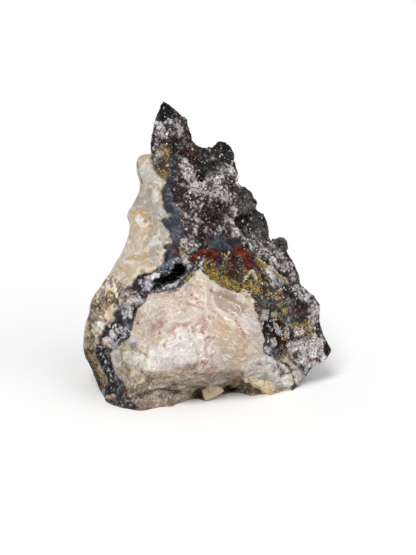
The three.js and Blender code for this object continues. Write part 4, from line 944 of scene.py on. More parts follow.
# In the vug table, the near-black region from 179,264 round to 176,265 is painted shade: the inside of the hole is
# painted black.
MARKS_VUG = """
P 96,98,104 .85 2 -.1 | 148,282 150,276 156,272 164,270 170,262 178,257 186,260 190,266 186,275 180,283 172,288 160,291 152,291
D 200,202,206 .85 .8 .2 | 153,273 156,271.5 158,273.5 155,275.5 151,275.5 147,278 161,271.5 159,270 149,282 147,286 150,284 163,288 169,286 175,285
P 110,112,116 .8 1.5 .2 | 175,258 183,257 189,261 187,265 184,263 181,260
D 206,206,206 .85 .9 .2 | 178,258.5 183,259 187,262 188,267 172,262 167,265
L 172,172,174 .85 1.5 .3 | 160,286 167,283 174,284 178,281
L 120,124,134 .8 1.5 0 | 166,266 170,262 175,260
D 24,24,26 .9 2.4 -.3 | 167,268 163,281 157,271.5
P 56,60,68 .92 1 -.1 | 160,268 166,264 171,265 172,270 168,275 162,276 158,273
P 214,212,213 .95 1 .15 | 150.5,277.5 154,273.5 158,271 160.5,273.5 158.5,277 154.5,279.5
D 190,192,200 .9 .8 .1 | 163,266 167,267.5 165,271 170,268
P 214,213,212 .95 .9 .15 | 151,279 152.5,275 155,272 157.5,272.5 160,275.5 158,278 155,279 152.5,279.8
P 94,100,115 .9 1.1 .05 | 160,266 163,264 166,263 167,266 165,269.5 161,270
P 9,10,13 .97 .8 -.4 | 179,264 181.2,264 182.5,267 185.5,269.2 186,271 184,274 181.5,277 177.5,279 176.5,281 173,283 170,282.2 166,283 163.5,285 160.5,287.5 158,286.3 155,289 152.3,288.6 155,285 156.5,283 154.5,281.3 152,281 152.3,279.9 157,279.2 160,277.3 165,277.2 170,276 172,274 172.8,270 173.2,267.5 176,265
D 204,206,210 .92 .8 .15 | 188,262 190,266 176,259.5 166,286.5 162,286 163.5,288 169,285.5 172,285 175,283 177,282.5 156,290.5 158,289 153,291 182,276 181.5,278 187,267.5 188,269 185,263.5 183,262 180,259.5 177,261 174.5,262.5 163,279.5
D 88,86,84 .85 .9 0 | 166,287 170,288 174,287 178,285 181,281 165,290 160,290 185,273 184,278
D 46,44,46 .9 .9 -.1 | 168,290 173,289 177,287 180,284 183,280 157,287.5 161,268 168,273 164,274
D 172,132,44 .92 .7 .1 | 166,293 168,292.6 170,292 172,291.4 174,291 176,290.6 178,289.5 179,287.5 188,276 189.5,274.5 191,273 187,278 186,280.5 154,294.8 157.5,294.6
P 44,46,54 .92 .8 -.1 | 161,271 166,270.5 172,270 172,273.5 168,275.5 160,276.5 159.5,273.5
D 168,170,178 .9 .7 .1 | 163,272 169,272.5 171.5,271.5 166,274.5
"""

# =====================================================================================
# The skin: one closed mesh of the whole lump
# =====================================================================================
verts, tris, quads = build_lump()
raw = bpy.data.objects.new("raw", mesh_from("raw", verts / 1000, tris, quads))
bpy.context.scene.collection.objects.link(raw)
mod = raw.modifiers.new("r", "REMESH")
mod.mode = "VOXEL"
mod.voxel_size = 0.00043
mod.use_smooth_shade = True
dg = bpy.context.evaluated_depsgraph_get()
skin = bpy.data.meshes.new_from_object(raw.evaluated_get(dg))
bpy.data.objects.remove(raw)


def backness(p):
    """0 on the front, 1 well behind the outline."""
    x, y = sheet_of(p)
    theta = np.degrees(np.arctan2(HUB[1] - y, x - HUB[0])) % 360
    return smoothstep(0.5, 11.0, p[:, 1] - np.interp(theta, RIM[:, 0], RIM[:, 1]) - SHIFT[1])


LIMIT = 196000
count = sum(len(p.vertices) - 2 for p in skin.polygons)
if count > LIMIT:                                   # the back is thinned a little
    o = bpy.data.objects.new("thin", skin)
    bpy.context.scene.collection.objects.link(o)
    vg = o.vertex_groups.new(name="back")
    pv = read_verts(skin) * 1000
    w = backness(pv)
    stir = _hash(np.arange(len(pv)), 0 * np.arange(len(pv)), 0 * np.arange(len(pv)), 5) - 0.5
    set_verts(skin, (pv + read_normals(skin) * (0.08 * w * stir)[:, None]) / 1000)
    for k in range(1, 5):
        idx = np.nonzero((w > 0.2 * k) & (w <= 0.2 * k + 0.2 + (k == 4)))[0]
        vg.add([int(i) for i in idx], 0.25 * k, "REPLACE")
    d = o.modifiers.new("d", "DECIMATE")
    d.ratio = LIMIT / count
    d.vertex_group = "back"
    d.vertex_group_factor = 0.5
    dg = bpy.context.evaluated_depsgraph_get()
    thin = bpy.data.meshes.new_from_object(o.evaluated_get(dg))
    bpy.data.objects.remove(o)
    skin = thin
print("skin", count, "->", sum(len(p.vertices) - 2 for p in skin.polygons), "triangles")
skin.name = "rock"
rock = bpy.data.objects.new("rock", skin)
bpy.context.scene.collection.objects.link(rock)
skin.polygons.foreach_set("use_smooth", np.ones(len(skin.polygons), bool))

P = read_verts(skin) * 1000
N = read_normals(skin)
SX, SY = sheet_of(P)
# the front is all that faces the eye, however far back it leans
toward = EYE - P
toward = (N * toward).sum(1) / np.linalg.norm(toward, axis=1)
BACKNESS = backness(P) * (1 - smoothstep(-0.2, 0.02, toward))
FRONTAL = 1 - BACKNESS

# sheet positions for broad regions (wavering, and wandering round the back) and for fine marks
w1 = np.stack([fbm(P, 3.0, 3, 41), fbm(P, 3.0, 3, 43)], -1)
w2 = np.stack([fbm(P, 16, 3, 51), fbm(P, 16, 3, 53)], -1)
w3 = np.stack([fbm(P, 1.3, 2, 55), fbm(P, 1.3, 2, 57)], -1)
QX = SX + 1.6 * w1[:, 0] + 0.5 * w3[:, 0] + 46 * BACKNESS * w2[:, 0]
QY = SY + 1.6 * w1[:, 1] + 0.5 * w3[:, 1] + 46 * BACKNESS * w2[:, 1] - 16 * BACKNESS
FX = SX + 0.8 * w1[:, 0] + 0.8 * w3[:, 0]
FY = SY + 0.8 * w1[:, 1] + 0.8 * w3[:, 1]
w5 = np.stack([fbm(P, 0.9, 2, 221), fbm(P, 0.9, 2, 223)], -1)
GX, GY = FX + 2.6 * w5[:, 0], FY + 2.6 * w5[:, 1]


def region(poly, soft=1.5, qx=None, qy=None):
    """0 to 1 membership of a region drawn on the sheet."""
    qx, qy = (QX, QY) if qx is None else (qx, qy)
    poly = np.asarray(poly, float).reshape(-1, 2)
    lo, hi = poly.min(0) - soft - 2, poly.max(0) + soft + 2
    near = (qx > lo[0]) & (qx < hi[0]) & (qy > lo[1]) & (qy < hi[1])
    out = np.zeros(len(qx))
    out[near] = smoothstep(-soft, soft, inside_distance(qx[near], qy[near], poly))
    return out


def along(points, half, qx, qy):
    """1 within half of a line, fading to 0 at twice that."""
    pts = np.asarray(points, float).reshape(-1, 2)
    lo, hi = pts.min(0) - 2 * half - 1, pts.max(0) + 2 * half + 1
    near = np.nonzero((qx > lo[0]) & (qx < hi[0]) & (qy > lo[1]) & (qy < hi[1]))[0]
    out = np.zeros(len(qx))
    x, y = qx[near], qy[near]
    best = np.full(len(near), 1e9)
    for (ax, ay), (bx, by) in zip(pts[:-1], pts[1:]):
        ex, ey = bx - ax, by - ay
        t = np.clip(((x - ax) * ex + (y - ay) * ey) / max(ex * ex + ey * ey, 1e-9), 0, 1)
        best = np.minimum(best, (x - ax - t * ex) ** 2 + (y - ay - t * ey) ** 2)
    out[near] = 1 - smoothstep(0.6 * half, 1.7 * half, np.sqrt(best))
    return out


def read_marks(text):
    """Each line of a table of marks to (colour, amount per vertex, lift)."""
    out = []
    for line in text.strip().splitlines():
        head, pts = line.split("|")
        kind, rgb, alpha, soft, lift = head.split()
        pts = [float(v) for v in pts.replace(",", " ").split()]
        soft = float(soft)
        if kind == "P":
            m = region(pts, soft * 0.8, FX, FY)
        elif kind == "L":
            m = along(pts, soft, FX, FY)
        else:
            m = np.zeros(len(P))
            for x, y in zip(pts[::2], pts[1::2]):
                m = np.maximum(m, along([x, y, x + 0.01, y], soft * 0.85, GX, GY))
        out.append((lin(*[float(v) for v in rgb.split(",")]), float(alpha) * m * FRONTAL ** 2, float(lift)))
    return out


marks_crust, marks_stone, marks_veins, marks_vug = (read_marks(t) for t in (MARKS_CRUST, MARKS_STONE, MARKS_VEINS, MARKS_VUG))

# ---- where each kind of stone is -----------------------------------------------------
CRUST = [150,90, 205,90, 262,130, 285,180, 318,225, 350,280, 360,360, 322,395, 306,378, 300,370, 292,362, 286,356,
         282,360, 276,361, 270,357, 264,353, 262,344, 264,336, 260,330, 258,322, 259,314, 255,310, 255,300, 250,294,
         244,290, 238,294, 232,291, 226,289, 220,286, 216,282,
         210,279, 205,275, 201,271, 197,270, 192,266, 186,256, 176,262, 177,256, 178,249, 179,243, 181,237, 182,231,
         181,225, 179,219, 178,214, 177,208, 175,203, 171,197, 170,190, 172,182, 178,176, 170,180, 163,179, 157,174,
         153,168, 150,160, 152,154, 149,147]
BAND = [168,150, 172,152, 175,158, 178,166, 178,174, 173,182, 171,190, 173,197, 176,203, 178,208, 179,214, 180,219,
        182,225, 183,231, 182,237, 180,243, 179,249, 178,256, 176,262, 168,268, 160,276, 152,272, 154,270, 160,267,
        164,262, 164,254, 167,251, 163,248, 165,245, 171,244, 172,242, 169,238, 170,234, 168,230, 164,226, 161,221,
        164,218, 169,216, 166,213, 163,208, 161,203, 161,192, 163,187, 166,181, 168,175, 169,166, 168,158]
CHUNK = [197,272, 201,273, 205,276, 210,280, 216,283, 220,287, 226,290, 232,294, 240,298, 248,303, 255,310, 259,314,
         258,322, 260,330, 264,336, 265,343, 263,350, 262,357, 258,365, 248,372, 235,371, 220,370, 205,370, 190,371,
         170,374, 156,373, 148,370, 145,362, 138,352, 136,345, 130,341, 129,338, 132,330, 135,323, 137,317, 139,309,
         144,304, 150,297, 160,294, 170,292, 178,291, 184,286, 191,279]
VEIN = [150,294, 160,292, 170,290, 178,289, 184,284, 191,277, 197,271, 200,268, 196,262, 190,262, 186,268, 183,276,
        177,282, 171,285, 164,286, 158,290, 152,290, 148,288]
DARKVEIN = [139,274, 133,280, 129,286, 122,289, 118,295, 121,300, 119,308, 113,314, 113,320, 107,320, 106,326, 103,331, 98,337,
            98,344, 94,348, 94,354, 97,361, 101,369, 105,377, 108,384, 104,388, 104,398, 104,404, 118,411, 130,412,
            140,409, 134,403, 128,398, 128,394, 126,388, 122,382, 118,376, 114,368, 112,362, 110,355, 112,349, 118,347,
            124,342, 129,338, 130,332, 133,327, 134,321, 136,314, 137,308, 141,307, 146,302, 150,296, 154,290, 158,284,
            156,276, 150,273]
MOTTLE = [84,283, 112,276, 124,286, 118,298, 114,308, 110,316, 104,326, 97,336, 94,346, 94,356, 99,368, 104,380,
          107,392, 107,404, 96,404, 80,370, 76,330]
UNDER = [106,398, 124,392, 136,380, 150,376, 170,373, 190,372, 210,371, 232,372, 243,371, 244,382, 256,396, 230,396, 205,406,
         180,410, 140,418, 106,414]
LOBE = [112,350, 120,348, 130,350, 140,355, 148,362, 150,374, 138,384, 126,394, 122,388, 116,372, 111,362]

crust = region(CRUST, 1.0)
band = region(BAND, 0.8, QX + 0.9 * w3[:, 1], QY + 0.9 * w3[:, 0])
chunk = region(CHUNK, 1.0)
vein = region(VEIN, 0.9)
darkvein = region(DARKVEIN, 1.1)
mottle = region(MOTTLE, 1.5)
underside = region(UNDER, 1.5)
lobe = region(LOBE, 1.2)
# behind, the crust goes on in broad patches over pale quartz
patchy = spots(fbm(P, 17, 4, 139), -0.02, 0.06)
crust = crust * (1 - BACKNESS * (1 - patchy))
backdruse = BACKNESS * spots(fbm(P, 13, 3, 141), 0.22, 0.08)
crust = np.maximum(crust, backdruse * 0.9)
band, vein, darkvein = (v * (1 - 0.75 * BACKNESS) for v in (band, vein, darkvein))
dark_stone = np.clip(crust + band + darkvein + vein, 0, 1)
pale_stone = 1 - dark_stone
smooth_face = region([199,274, 207,280, 226,292, 246,304, 256,314, 262,332, 263,352, 256,366, 240,370, 226,368, 214,346, 207,322, 204,304, 196,286], 3)
smooth_left = region([134,152, 150,155, 151,190, 150,214, 146,226, 150,240, 146,262, 128,284, 112,282, 96,290, 100,262, 120,232, 122,208, 134,184, 130,166], 3)
sparkle = np.maximum.reduce([region([178,150, 240,160, 262,214, 300,286, 322,326, 330,352, 300,366, 286,352, 262,270, 232,236, 182,246, 176,200, 174,170], 3), BACKNESS * crust])

# ---- relief --------------------------------------------------------------------------
CLEAVE = np.array([[1.0, -0.1, 0.35], [-0.8, -0.2, 0.6], [0.15, -0.3, -1.0], [0.5, 0.2, 0.9], [-1.0, 0.1, -0.3], [0.2, -0.5, 0.4]])
PW = P + 0.5 * np.stack([w1[:, 0], w1[:, 1], w3[:, 0]], -1)
f_big, c_big = facets(PW, 6.5, 3, tilt=0.6, curve=0.30, lift=0.3, ways=CLEAVE)
f_mid, c_mid = facets(PW, 2.4, 13, tilt=0.65, curve=0.35, lift=0.35, ways=CLEAVE)
f_sml, c_sml = facets(P, 1.15, 23, tilt=0.6, curve=0.5, lift=0.4)
f_lump, c_lump = facets(P + 0.4 * w1[:, [0, 1, 0]], 2.1, 43, tilt=0.15, curve=0.9, lift=0.5)
f_rock, c_rock = facets(PW, 11.0, 33, tilt=0.6, curve=0.3, lift=0.3)
# cleavage treads: long across, short down
tread_a = terrace(3.2 * fbm(P * np.array([0.45, 1.0, 1.0]) + 0.3 * w1[:, [0, 1, 0]], 4.2, 2, 151), 0.7)
tread_b = terrace(3.0 * fbm((P + np.array([0.7, 0, 0.7]) * (P[:, 0:1] - P[:, 2:3]) * 0.5), 3.6, 2, 153), 0.7)


def centred(f):
    return f - f.mean()


def unit_rows(v):
    return v / np.linalg.norm(v, axis=1, keepdims=True)



stoneish = np.clip(pale_stone, 0, 1)
rough = stoneish * (1 - 0.70 * smooth_face) * (1 - 0.80 * smooth_left)
# standing back from the eye: relief is held down where the surface turns away, so the outline stays true
away = unit_rows(EYE - P)
facing = 0.45 + 0.55 * smoothstep(0.1, 0.55, np.abs((N * away).sum(1)))
relief = np.zeros(len(P))
relief += FRONTAL * (chunk + 0.5 * lobe) * (1.5 * -centred(f_big)) * (1 - 0.5 * smooth_face)
relief += FRONTAL * rough * (1 - 0.35 * chunk) * (0.80 * -centred(f_mid) + 0.12 * (1 - chunk) * centred(f_sml) + 0.17 * centred(tread_a) + 0.14 * centred(tread_b))
relief += FRONTAL * np.clip(stoneish - chunk - lobe, 0, 1) * 0.9 * -centred(f_big) * (1 - 0.5 * smooth_left)
relief += crust * FRONTAL * (0.8 * fbm(P, 4.0, 3, 61) + 1.0 * centred(f_lump) * (0.4 + 0.6 * sparkle) + 0.35 * centred(f_sml))
relief += (band + vein + darkvein) * FRONTAL * (0.40 * fbm(P, 2.2, 3, 67) + 0.22 * centred(f_sml) - 0.30)
relief += BACKNESS * (4.2 * -centred(f_rock) + 1.6 * -centred(f_big) + 1.1 * -centred(f_mid) + 0.3 * centred(f_sml) + 0.9 * fbm(P, 9, 3, 71) + 0.15 * centred(tread_a))
relief += BACKNESS * crust * (0.9 * centred(f_lump))
for group in (marks_crust, marks_stone, marks_veins, marks_vug):
    for c, m, lift in group:
        if lift:
            relief += lift * m
relief *= np.where(BACKNESS > 0.5, 1.0, facing)
relief *= smoothstep(0.0, 1.5, P[:, 2])            # the base stays level
P2 = P + N * relief[:, None]
P2[:, 0] -= 2.1 * np.exp(-((P[:, 1] + 9.5) / 4.0) ** 2) * smoothstep(6.5, 1.5, P[:, 2]) * smoothstep(-26.5, -31, P[:, 0])
P2[:, 2] = np.maximum(P2[:, 2], 0.0)
set_verts(skin, P2 / 1000)
P = P2
N = read_normals(skin)

# ---- colour of the skin --------------------------------------------------------------
n1 = fbm(P, 5.0, 3, 81)
n2 = fbm(P, 2.0, 3, 83)
n3 = fbm(P, 0.9, 2, 87)
n4 = fbm(P, 7.5, 3, 89)
fly = fbm(P * np.array([0.5, 1, 1.8]), 2.4, 3, 97)
tint = np.tile(lin(208, 192, 168), (len(P), 1))


def paint(rgb, alpha):
    global tint
    alpha = np.clip(alpha, 0, 1)[:, None]
    tint = tint * (1 - alpha) + np.asarray(rgb) * alpha


def rank(v):
    out = np.empty(len(v))
    out[np.argsort(v)] = np.linspace(0, 1, len(v))
    return out


def lightness(c):
    return np.clip(c @ np.array([0.2126, 0.7152, 0.0722]), 0, 1) ** (1 / 2.2)


U_FINE = rank(0.8 * fbm(P, 1.2, 2, 201) + 0.5 * fbm(P, 3.2, 2, 203) + 1.1 * fbm(P, 0.75, 1, 205))
U_ROUGH = rank(1.0 * fbm(P, 2.0, 2, 207) + 0.8 * fbm(P, 4.2, 2, 209) + 0.5 * fbm(P, 1.0, 1, 211))


def speckled(c, amount, u, light, mid, dark, lo=0.17, hi=0.80, keep=0.3):
    """A colour broken into light, middling and dark grains, as many of each as its own lightness asks for."""
    b = lightness(c)
    share = np.clip((b - lo) / (hi - lo), 0.0, 1.0)
    wl = smoothstep(0.05, -0.05, u - 0.96 * share)
    wd = smoothstep(-0.05, 0.05, u - (share + 0.34 * (1 - share) ** 1.5 - 0.02)) * (1 - wl)
    q = light * wl[:, None] + dark * wd[:, None] + mid * (1 - wl - wd)[:, None]
    q = q * (1 - keep) + c * keep
    amount = np.clip(amount, 0, 1)[:, None]
    return c * (1 - amount) + q * amount, wl, wd


def two(a, b, w):
    return a * (1 - w)[:, None] + b * w[:, None]


# pale stone: cream, frosted white, grey see-through
paint(lin(196, 172, 138), 0.55 * spots(n1, 0.12, 0.3))
paint(lin(222, 212, 196), 0.55 * spots(n2, 0.10, 0.2))
paint(lin(172, 160, 142), 0.40 * spots(n4, 0.08, 0.25))
paint(lin(228, 220, 206), 0.35 * spots(n3, 0.15, 0.15))
paint(lin(176, 150, 112), 0.45 * BACKNESS * spots(fbm(P, 9, 3, 91), 0.12, 0.2))
paint(lin(150, 138, 124), 0.50 * BACKNESS * spots(fbm(P, 12, 3, 93), 0.10, 0.2))
paint(lin(120, 96, 68), 0.55 * BACKNESS * spots(fbm(P, 5, 3, 95), 0.30, 0.08))
# the pink chunk
paint(lin(214, 194, 178), chunk)
paint(lin(204, 176, 160), chunk * 0.45 * spots(n1, 0.05, 0.3))
paint(lin(228, 216, 206), chunk * 0.5 * (1 - 0.6 * smooth_face) * spots(fly, 0.10, 0.15))
paint(lin(198, 168, 154), chunk * 0.4 * (1 - 0.8 * smooth_face) * spots(-fly, 0.18, 0.12))
# lobe, underside, mottled left
paint(lin(182, 168, 150), 0.85 * lobe)
paint(lin(152, 131, 110), 0.9 * underside)
paint(lin(98, 78, 62), 0.5 * underside * spots(fly, 0.2, 0.12))
paint(lin(176, 160, 142), 0.5 * underside * spots(-fly, 0.16, 0.12))
paint(lin(180, 162, 138), 0.85 * mottle)
paint(lin(120, 98, 74), 0.65 * mottle * spots(n2, 0.14, 0.12))
paint(lin(168, 134, 84), 0.5 * mottle * spots(fbm(P, 1.6, 3, 105), 0.18, 0.12))
paint(lin(214, 204, 190), 0.6 * mottle * spots(fbm(P, 1.7, 3, 106), 0.2, 0.1))
paint(lin(74, 56, 46), 0.8 * mottle * spots(fbm(P, 1.3, 2, 108), 0.26, 0.08))
paint(lin(96, 78, 58), 0.6 * mottle * spots(-fbm(P, 2.6, 3, 110), 0.22, 0.08))
for c, m, lift in marks_stone:
    paint(c, m * pale_stone)
broken = np.clip(0.9 * mottle + 0.55 * underside + 0.35 * lobe + 0.55 * region([240,362, 262,356, 290,364, 304,376, 300,392, 270,396, 244,384], 2)
                 + 0.10 * region([150,222, 172,222, 172,262, 150,266], 2.5) + 0.3 * region([92,284, 126,284, 120,300, 92,300], 3), 0, 1) * pale_stone * FRONTAL
b_light = np.clip(tint * 1.5 + 0.06 * smoothstep(0.25, 0.5, lightness(tint))[:, None], 0, 0.86)
b_dark = tint * np.array([0.30, 0.24, 0.19])
tint, wl3, wd3 = speckled(tint, broken, U_ROUGH, b_light, tint * 1.02, b_dark, lo=0.30, hi=1.05, keep=0.35)
# the dark crust
crust_noise = fbm(P, 2.6, 3, 109)
cr = np.tile(lin(60, 50, 52), (len(P), 1))


def over(rgb, alpha):
    global cr
    alpha = np.clip(alpha, 0, 1)[:, None]
    cr = cr * (1 - alpha) + np.asarray(rgb) * alpha


over(lin(64, 36, 34), 0.6 * spots(n1, 0.05, 0.2))
over(lin(110, 98, 98), 0.6 * spots(crust_noise, 0.12, 0.12))
over(lin(28, 26, 28), 0.7 * spots(-crust_noise, 0.18, 0.12))
over(lin(150, 140, 138), BACKNESS * 0.6 * spots(fbm(P, 5.5, 3, 111), 0.08, 0.15))
for c, m, lift in marks_crust:
    over(c, m)
clump = 1.5 * fbm(P, 2.3, 2, 143) + 1.3 * fbm(P, 1.0, 2, 145)
red = np.clip(sum(m for c, m, lift in marks_crust if c[0] > 3 * c[1]), 0, 1)
blue = region([207,238, 214,235, 222,233, 228,238, 240,238, 242,247, 230,251, 222,252, 204,252], 1.5, FX, FY)
glassy = np.clip(np.maximum.reduce([region([192,143, 238,138, 240,152, 236,164, 222,170, 206,180, 196,172, 192,156], 2), region([236,186, 258,188, 262,212, 246,216, 236,206], 2.5),
                                    region([236,210, 270,210, 272,240, 258,242, 238,240], 2.5), region([270,235, 290,235, 290,252, 271,252], 2),
                                    region([157,98, 178,100, 179,114, 168,118, 163,123, 155,118], 1.5)]), 0, 1) * FRONTAL
mossy = np.clip(np.maximum.reduce([region([203,258, 212,254, 224,256, 240,262, 258,262, 264,272, 264,292, 254,296, 236,291, 218,286, 206,274], 2, FX, FY),
                                   0.8 * region([258,288, 274,286, 292,296, 302,308, 304,322, 292,332, 270,330, 260,318], 3, FX, FY),
                                   0.8 * region([262,343, 272,343, 284,356, 280,362, 264,356], 1.5), region([155,146, 170,145, 174,156, 172,178, 160,180, 152,166], 2)]), 0, 1) * FRONTAL
calm = np.clip(red + 0.85 * blue + glassy + 0.72 * mossy, 0, 1)
cr = np.clip(cr * np.exp(clump * 0.35 - 0.02)[:, None], 0, 0.85)
m_a = spots(fbm(P, 2.2, 2, 213), 0.0, 0.15)
m_b = spots(fbm(P, 1.6, 2, 215), 0.05, 0.12)
light_c = two(lin(213, 210, 210), lin(177, 170, 169), m_a) * (0.81 + 0.36 * lightness(cr))[:, None]
mid_c = two(lin(100, 94, 95), lin(88, 66, 63), m_b)
dark_c = two(lin(14, 13, 15), lin(44, 24, 23), spots(fbm(P, 3.0, 2, 219), 0.08, 0.12))
cr, wl, wd = speckled(cr, 1 - calm, U_FINE, light_c, mid_c, dark_c, lo=0.19, hi=0.80, keep=0.33)
lift2 = crust * (1 - calm) * (0.17 * wl - 0.12 * wd)
paint(cr, crust)
# blue-grey band and veins
bd = np.tile(lin(76, 82, 93), (len(P), 1))


def band_over(rgb, alpha):
    global bd
    alpha = np.clip(alpha, 0, 1)[:, None]
    bd = bd * (1 - alpha) + np.asarray(rgb) * alpha


band_over(lin(57, 60, 68), 0.7 * spots(n2, 0.06, 0.15))
band_over(lin(104, 111, 122), 0.4 * spots(fbm(P * np.array([1.6, 1, 0.6]), 1.8, 3, 113), 0.2, 0.12))
band_over(lin(58, 54, 58), darkvein * 0.7)
band_over(lin(26, 26, 30), darkvein * 0.7 * spots(-n2, 0.08, 0.12))
band_over(lin(140, 136, 138), darkvein * 0.5 * spots(n3, 0.2, 0.12))
for c, m, lift in marks_veins:
    band_over(c, m)
bd = np.clip(bd * np.exp(0.3 * (1.6 * fbm(P, 1.9, 2, 149) + 1.2 * fbm(P, 0.9, 2, 155)))[:, None], 0, 0.85) * 0.92
busy_v = np.clip(0.42 * darkvein + 0.5 * vein + 0.3 * band, 0, 1)
bd, wl2, wd2 = speckled(bd, busy_v, U_FINE, two(lin(190, 187, 190), lin(172, 154, 148), m_a), two(lin(84, 88, 98), lin(84, 68, 68), m_b * 0.6),
                        two(lin(13, 14, 17), lin(36, 20, 22), spots(-n2, 0.22, 0.12)), keep=0.5)
lift2 = lift2 + busy_v * (0.22 * wl2 - 0.14 * wd2)
bd = bd * (0.76 - 0.08 * band + (0.28 + 0.06 * darkvein) * smoothstep(0.38, 0.6, lightness(bd)))[:, None]
paint(bd, np.clip(band + vein + darkvein, 0, 1))
# ring of oxide and sugar round the vug, and its inside painted near black as painted shade of the hole
for c, m, lift in marks_vug:
    paint(c, m)
vug = region(VUG, 0.8, FX, FY) * FRONTAL
paint(lin(14, 14, 15), vug)
tint = tint * (1 - (0.20 + 0.10 * chunk) * pale_stone)[:, None]
creases = smoothstep(0.07, 0.0, c_mid) * 0.30 + smoothstep(0.08, 0.0, c_sml) * 0.15
tint = tint * (1 + (creases * pale_stone * rough)[:, None] * 0.35)
# painted shade: the crust is darkened along the hollows where its rounded lumps meet
tint = tint * (1 - 0.45 * (smoothstep(0.12, 0.0, c_lump) * crust)[:, None])
# yellow grains are thickest here
YELLOW = [203,266, 212,270, 222,274, 232,278, 246,280, 256,276, 262,273, 260,279, 266,283, 261,287, 263,293, 254,296, 244,292, 236,290, 228,289, 218,284, 208,278]
yellow = np.maximum.reduce([region(YELLOW, 2, FX, FY), 0.45 * region([203,257, 212,255, 222,256, 229,254, 232,262, 228,272, 212,272, 204,270], 1.5, FX, FY),
                            0.35 * region([240,266, 258,270, 262,280, 246,280], 2, FX, FY), 0.06 * region([266,300, 292,300, 292,320, 268,320], 2, FX, FY),
                            0.3 * region([294,324, 314,324, 314,338, 296,338], 1.5, FX, FY), 0.2 * region([179,242, 195,242, 193,256, 181,256], 2, FX, FY), 0.95 * along([256,258, 264,265, 270,270, 277,274, 283,279, 288,282], 0.9, FX, FY),
                            0.7 * along([258,262, 263,268, 267,275, 270,281], 0.8, FX, FY),
                            0.35 * region([280,344, 290,344, 290,358, 281,358], 2, FX, FY), 0.16 * region([162,146, 170,146, 171,162, 163,160], 1.5, FX, FY)]) * FRONTAL ** 2
yellow = yellow * (1 - red)

hem = smoothstep(-16, -5, inside_distance(FX, FY, np.array(CHUNK, float).reshape(-1, 2)))
yellow = yellow * (0.03 + 0.97 * spots(fbm(P, 1.4, 2, 217), 0.01, 0.06)) * np.where(FX > 200, 0.3 + 0.7 * hem, 1.0)
# where the drawn marks are snow white or golden, for the grains set there
middle_right = region([256,256, 292,256, 300,290, 320,318, 318,344, 290,346, 262,350, 256,320], 2)
left_vein = region([94,268, 156,264, 158,292, 140,306, 134,340, 116,352, 126,400, 100,404, 92,350], 2)
snow = np.zeros(len(P))
gold = np.zeros(len(P))
for c, a, lift in marks_crust + marks_veins:
    l = float(lightness(c[None])[0])
    golden = c[2] < 0.45 * c[1] and c[1] > 0.12
    snow = snow * (1 - a) + a * ((l > 0.64) * middle_right + (l > 0.735) * left_vein)
    gold = gold * (1 - a) + a * golden
gold = gold * middle_right
tint = tint * (1 - red[:, None] * np.array([0.70, 0.68, 0.76]) * (0.62 + 0.62 * spots(n3, 0.0, 0.2))[:, None])
lift2 = lift2 * np.where(BACKNESS > 0.5, 1.0, facing) * smoothstep(0.2, 1.2, P[:, 2]) + 0.10 * broken * (wl3 - wd3) * smoothstep(0.2, 1.2, P[:, 2])
P = P + N * lift2[:, None]
P[:, 2] = np.maximum(P[:, 2], 0.0)
set_verts(skin, P / 1000)
N = read_normals(skin)
flow = np.clip(chunk * (1 - 0.85 * smooth_face) + 0.6 * lobe + 0.35 * underside, 0, 1) * pale_stone * FRONTAL
column = region([134,152, 150,155, 162,186, 166,214, 172,240, 168,264, 146,276, 128,284, 112,282, 96,290, 100,262, 120,232, 122,208, 134,184, 130,166], 3) * pale_stone * FRONTAL
whites = region([140,352, 152,340, 168,330, 196,324, 206,330, 212,352, 214,366, 200,364, 180,366, 150,362], 4)
flow = flow * np.clip(0.22 + 0.78 * whites + 0.5 * spots(n1, 0.12, 0.12), 0, 1)
frost_col = region([147,183, 158,184, 162,190, 163,206, 168,216, 172,226, 172,262, 160,268, 150,264, 150,250, 146,240, 152,228, 156,218, 150,200], 2.5) * pale_stone * FRONTAL
heel = region([118,386, 140,382, 166,384, 166,400, 140,414, 104,412, 120,396], 3) * pale_stone * FRONTAL
tint = tint * (1 + 0.07 * mottle - 0.30 * frost_col - 0.22 * heel - 0.15 * lobe * FRONTAL)[:, None]
flank = region([76,346, 90,350, 96,358, 99,366, 105,377, 110,388, 111,398, 101,402, 90,384, 80,366], 2) * FRONTAL
behind = BACKNESS * pale_stone
patch_a, patch_b = spots(fbm(P, 13, 3, 223), -0.02, 0.12), spots(fbm(P, 9, 3, 227), 0.02, 0.12)
put_float(skin, "flow", np.maximum(flow, 0.55 * behind * patch_b))
put_float(skin, "slabs", chunk * smooth_face * FRONTAL)
put_float(skin, "column", np.maximum(column, 0.75 * behind * patch_a))
frost = np.maximum(region([147,183, 158,184, 162,190, 163,206, 168,216, 172,226, 172,262, 160,268, 150,264, 150,250, 146,240, 152,228, 156,218, 150,200], 2.5),
                   0.7 * region([246,362, 264,354, 282,362, 294,374, 292,388, 276,386, 262,376, 246,376], 2.5)) * pale_stone * FRONTAL
put_float(skin, "frost", np.maximum(frost, 0.6 * behind * (1 - patch_a)))
put_float(skin, "broken", broken)
put_float(skin, "speck", np.clip(1.1 * darkvein + 0.55 * vein + 0.5 * mottle + 0.5 * crust * (1 - calm), 0, 1) * (1 - vug) * np.maximum(FRONTAL, 0.8 * BACKNESS * crust))
put_float(skin, "matte", np.clip(0.9 * dark_stone + flank + vug, 0, 1))
put_colour(skin, "tint", tint)
put_float(skin, "dark", dark_stone)
put_float(skin, "rough", np.clip(rough * (0.45 + 0.55 * spots(n1, 0.0, 0.3)), 0, 1))
put_float(skin, "yellow", yellow)

# =====================================================================================
# Grains and small crystals
# =====================================================================================
rng = np.random.default_rng(7)
skin.calc_loop_triangles()
tri = np.zeros(len(skin.loop_triangles) * 3, np.int32)
skin.loop_triangles.foreach_get("vertices", tri)
tri = tri.reshape(-1, 3)
ta, tb, tc = P[tri[:, 0]], P[tri[:, 1]], P[tri[:, 2]]
tarea = np.linalg.norm(np.cross(tb - ta, tc - ta), axis=1) / 2


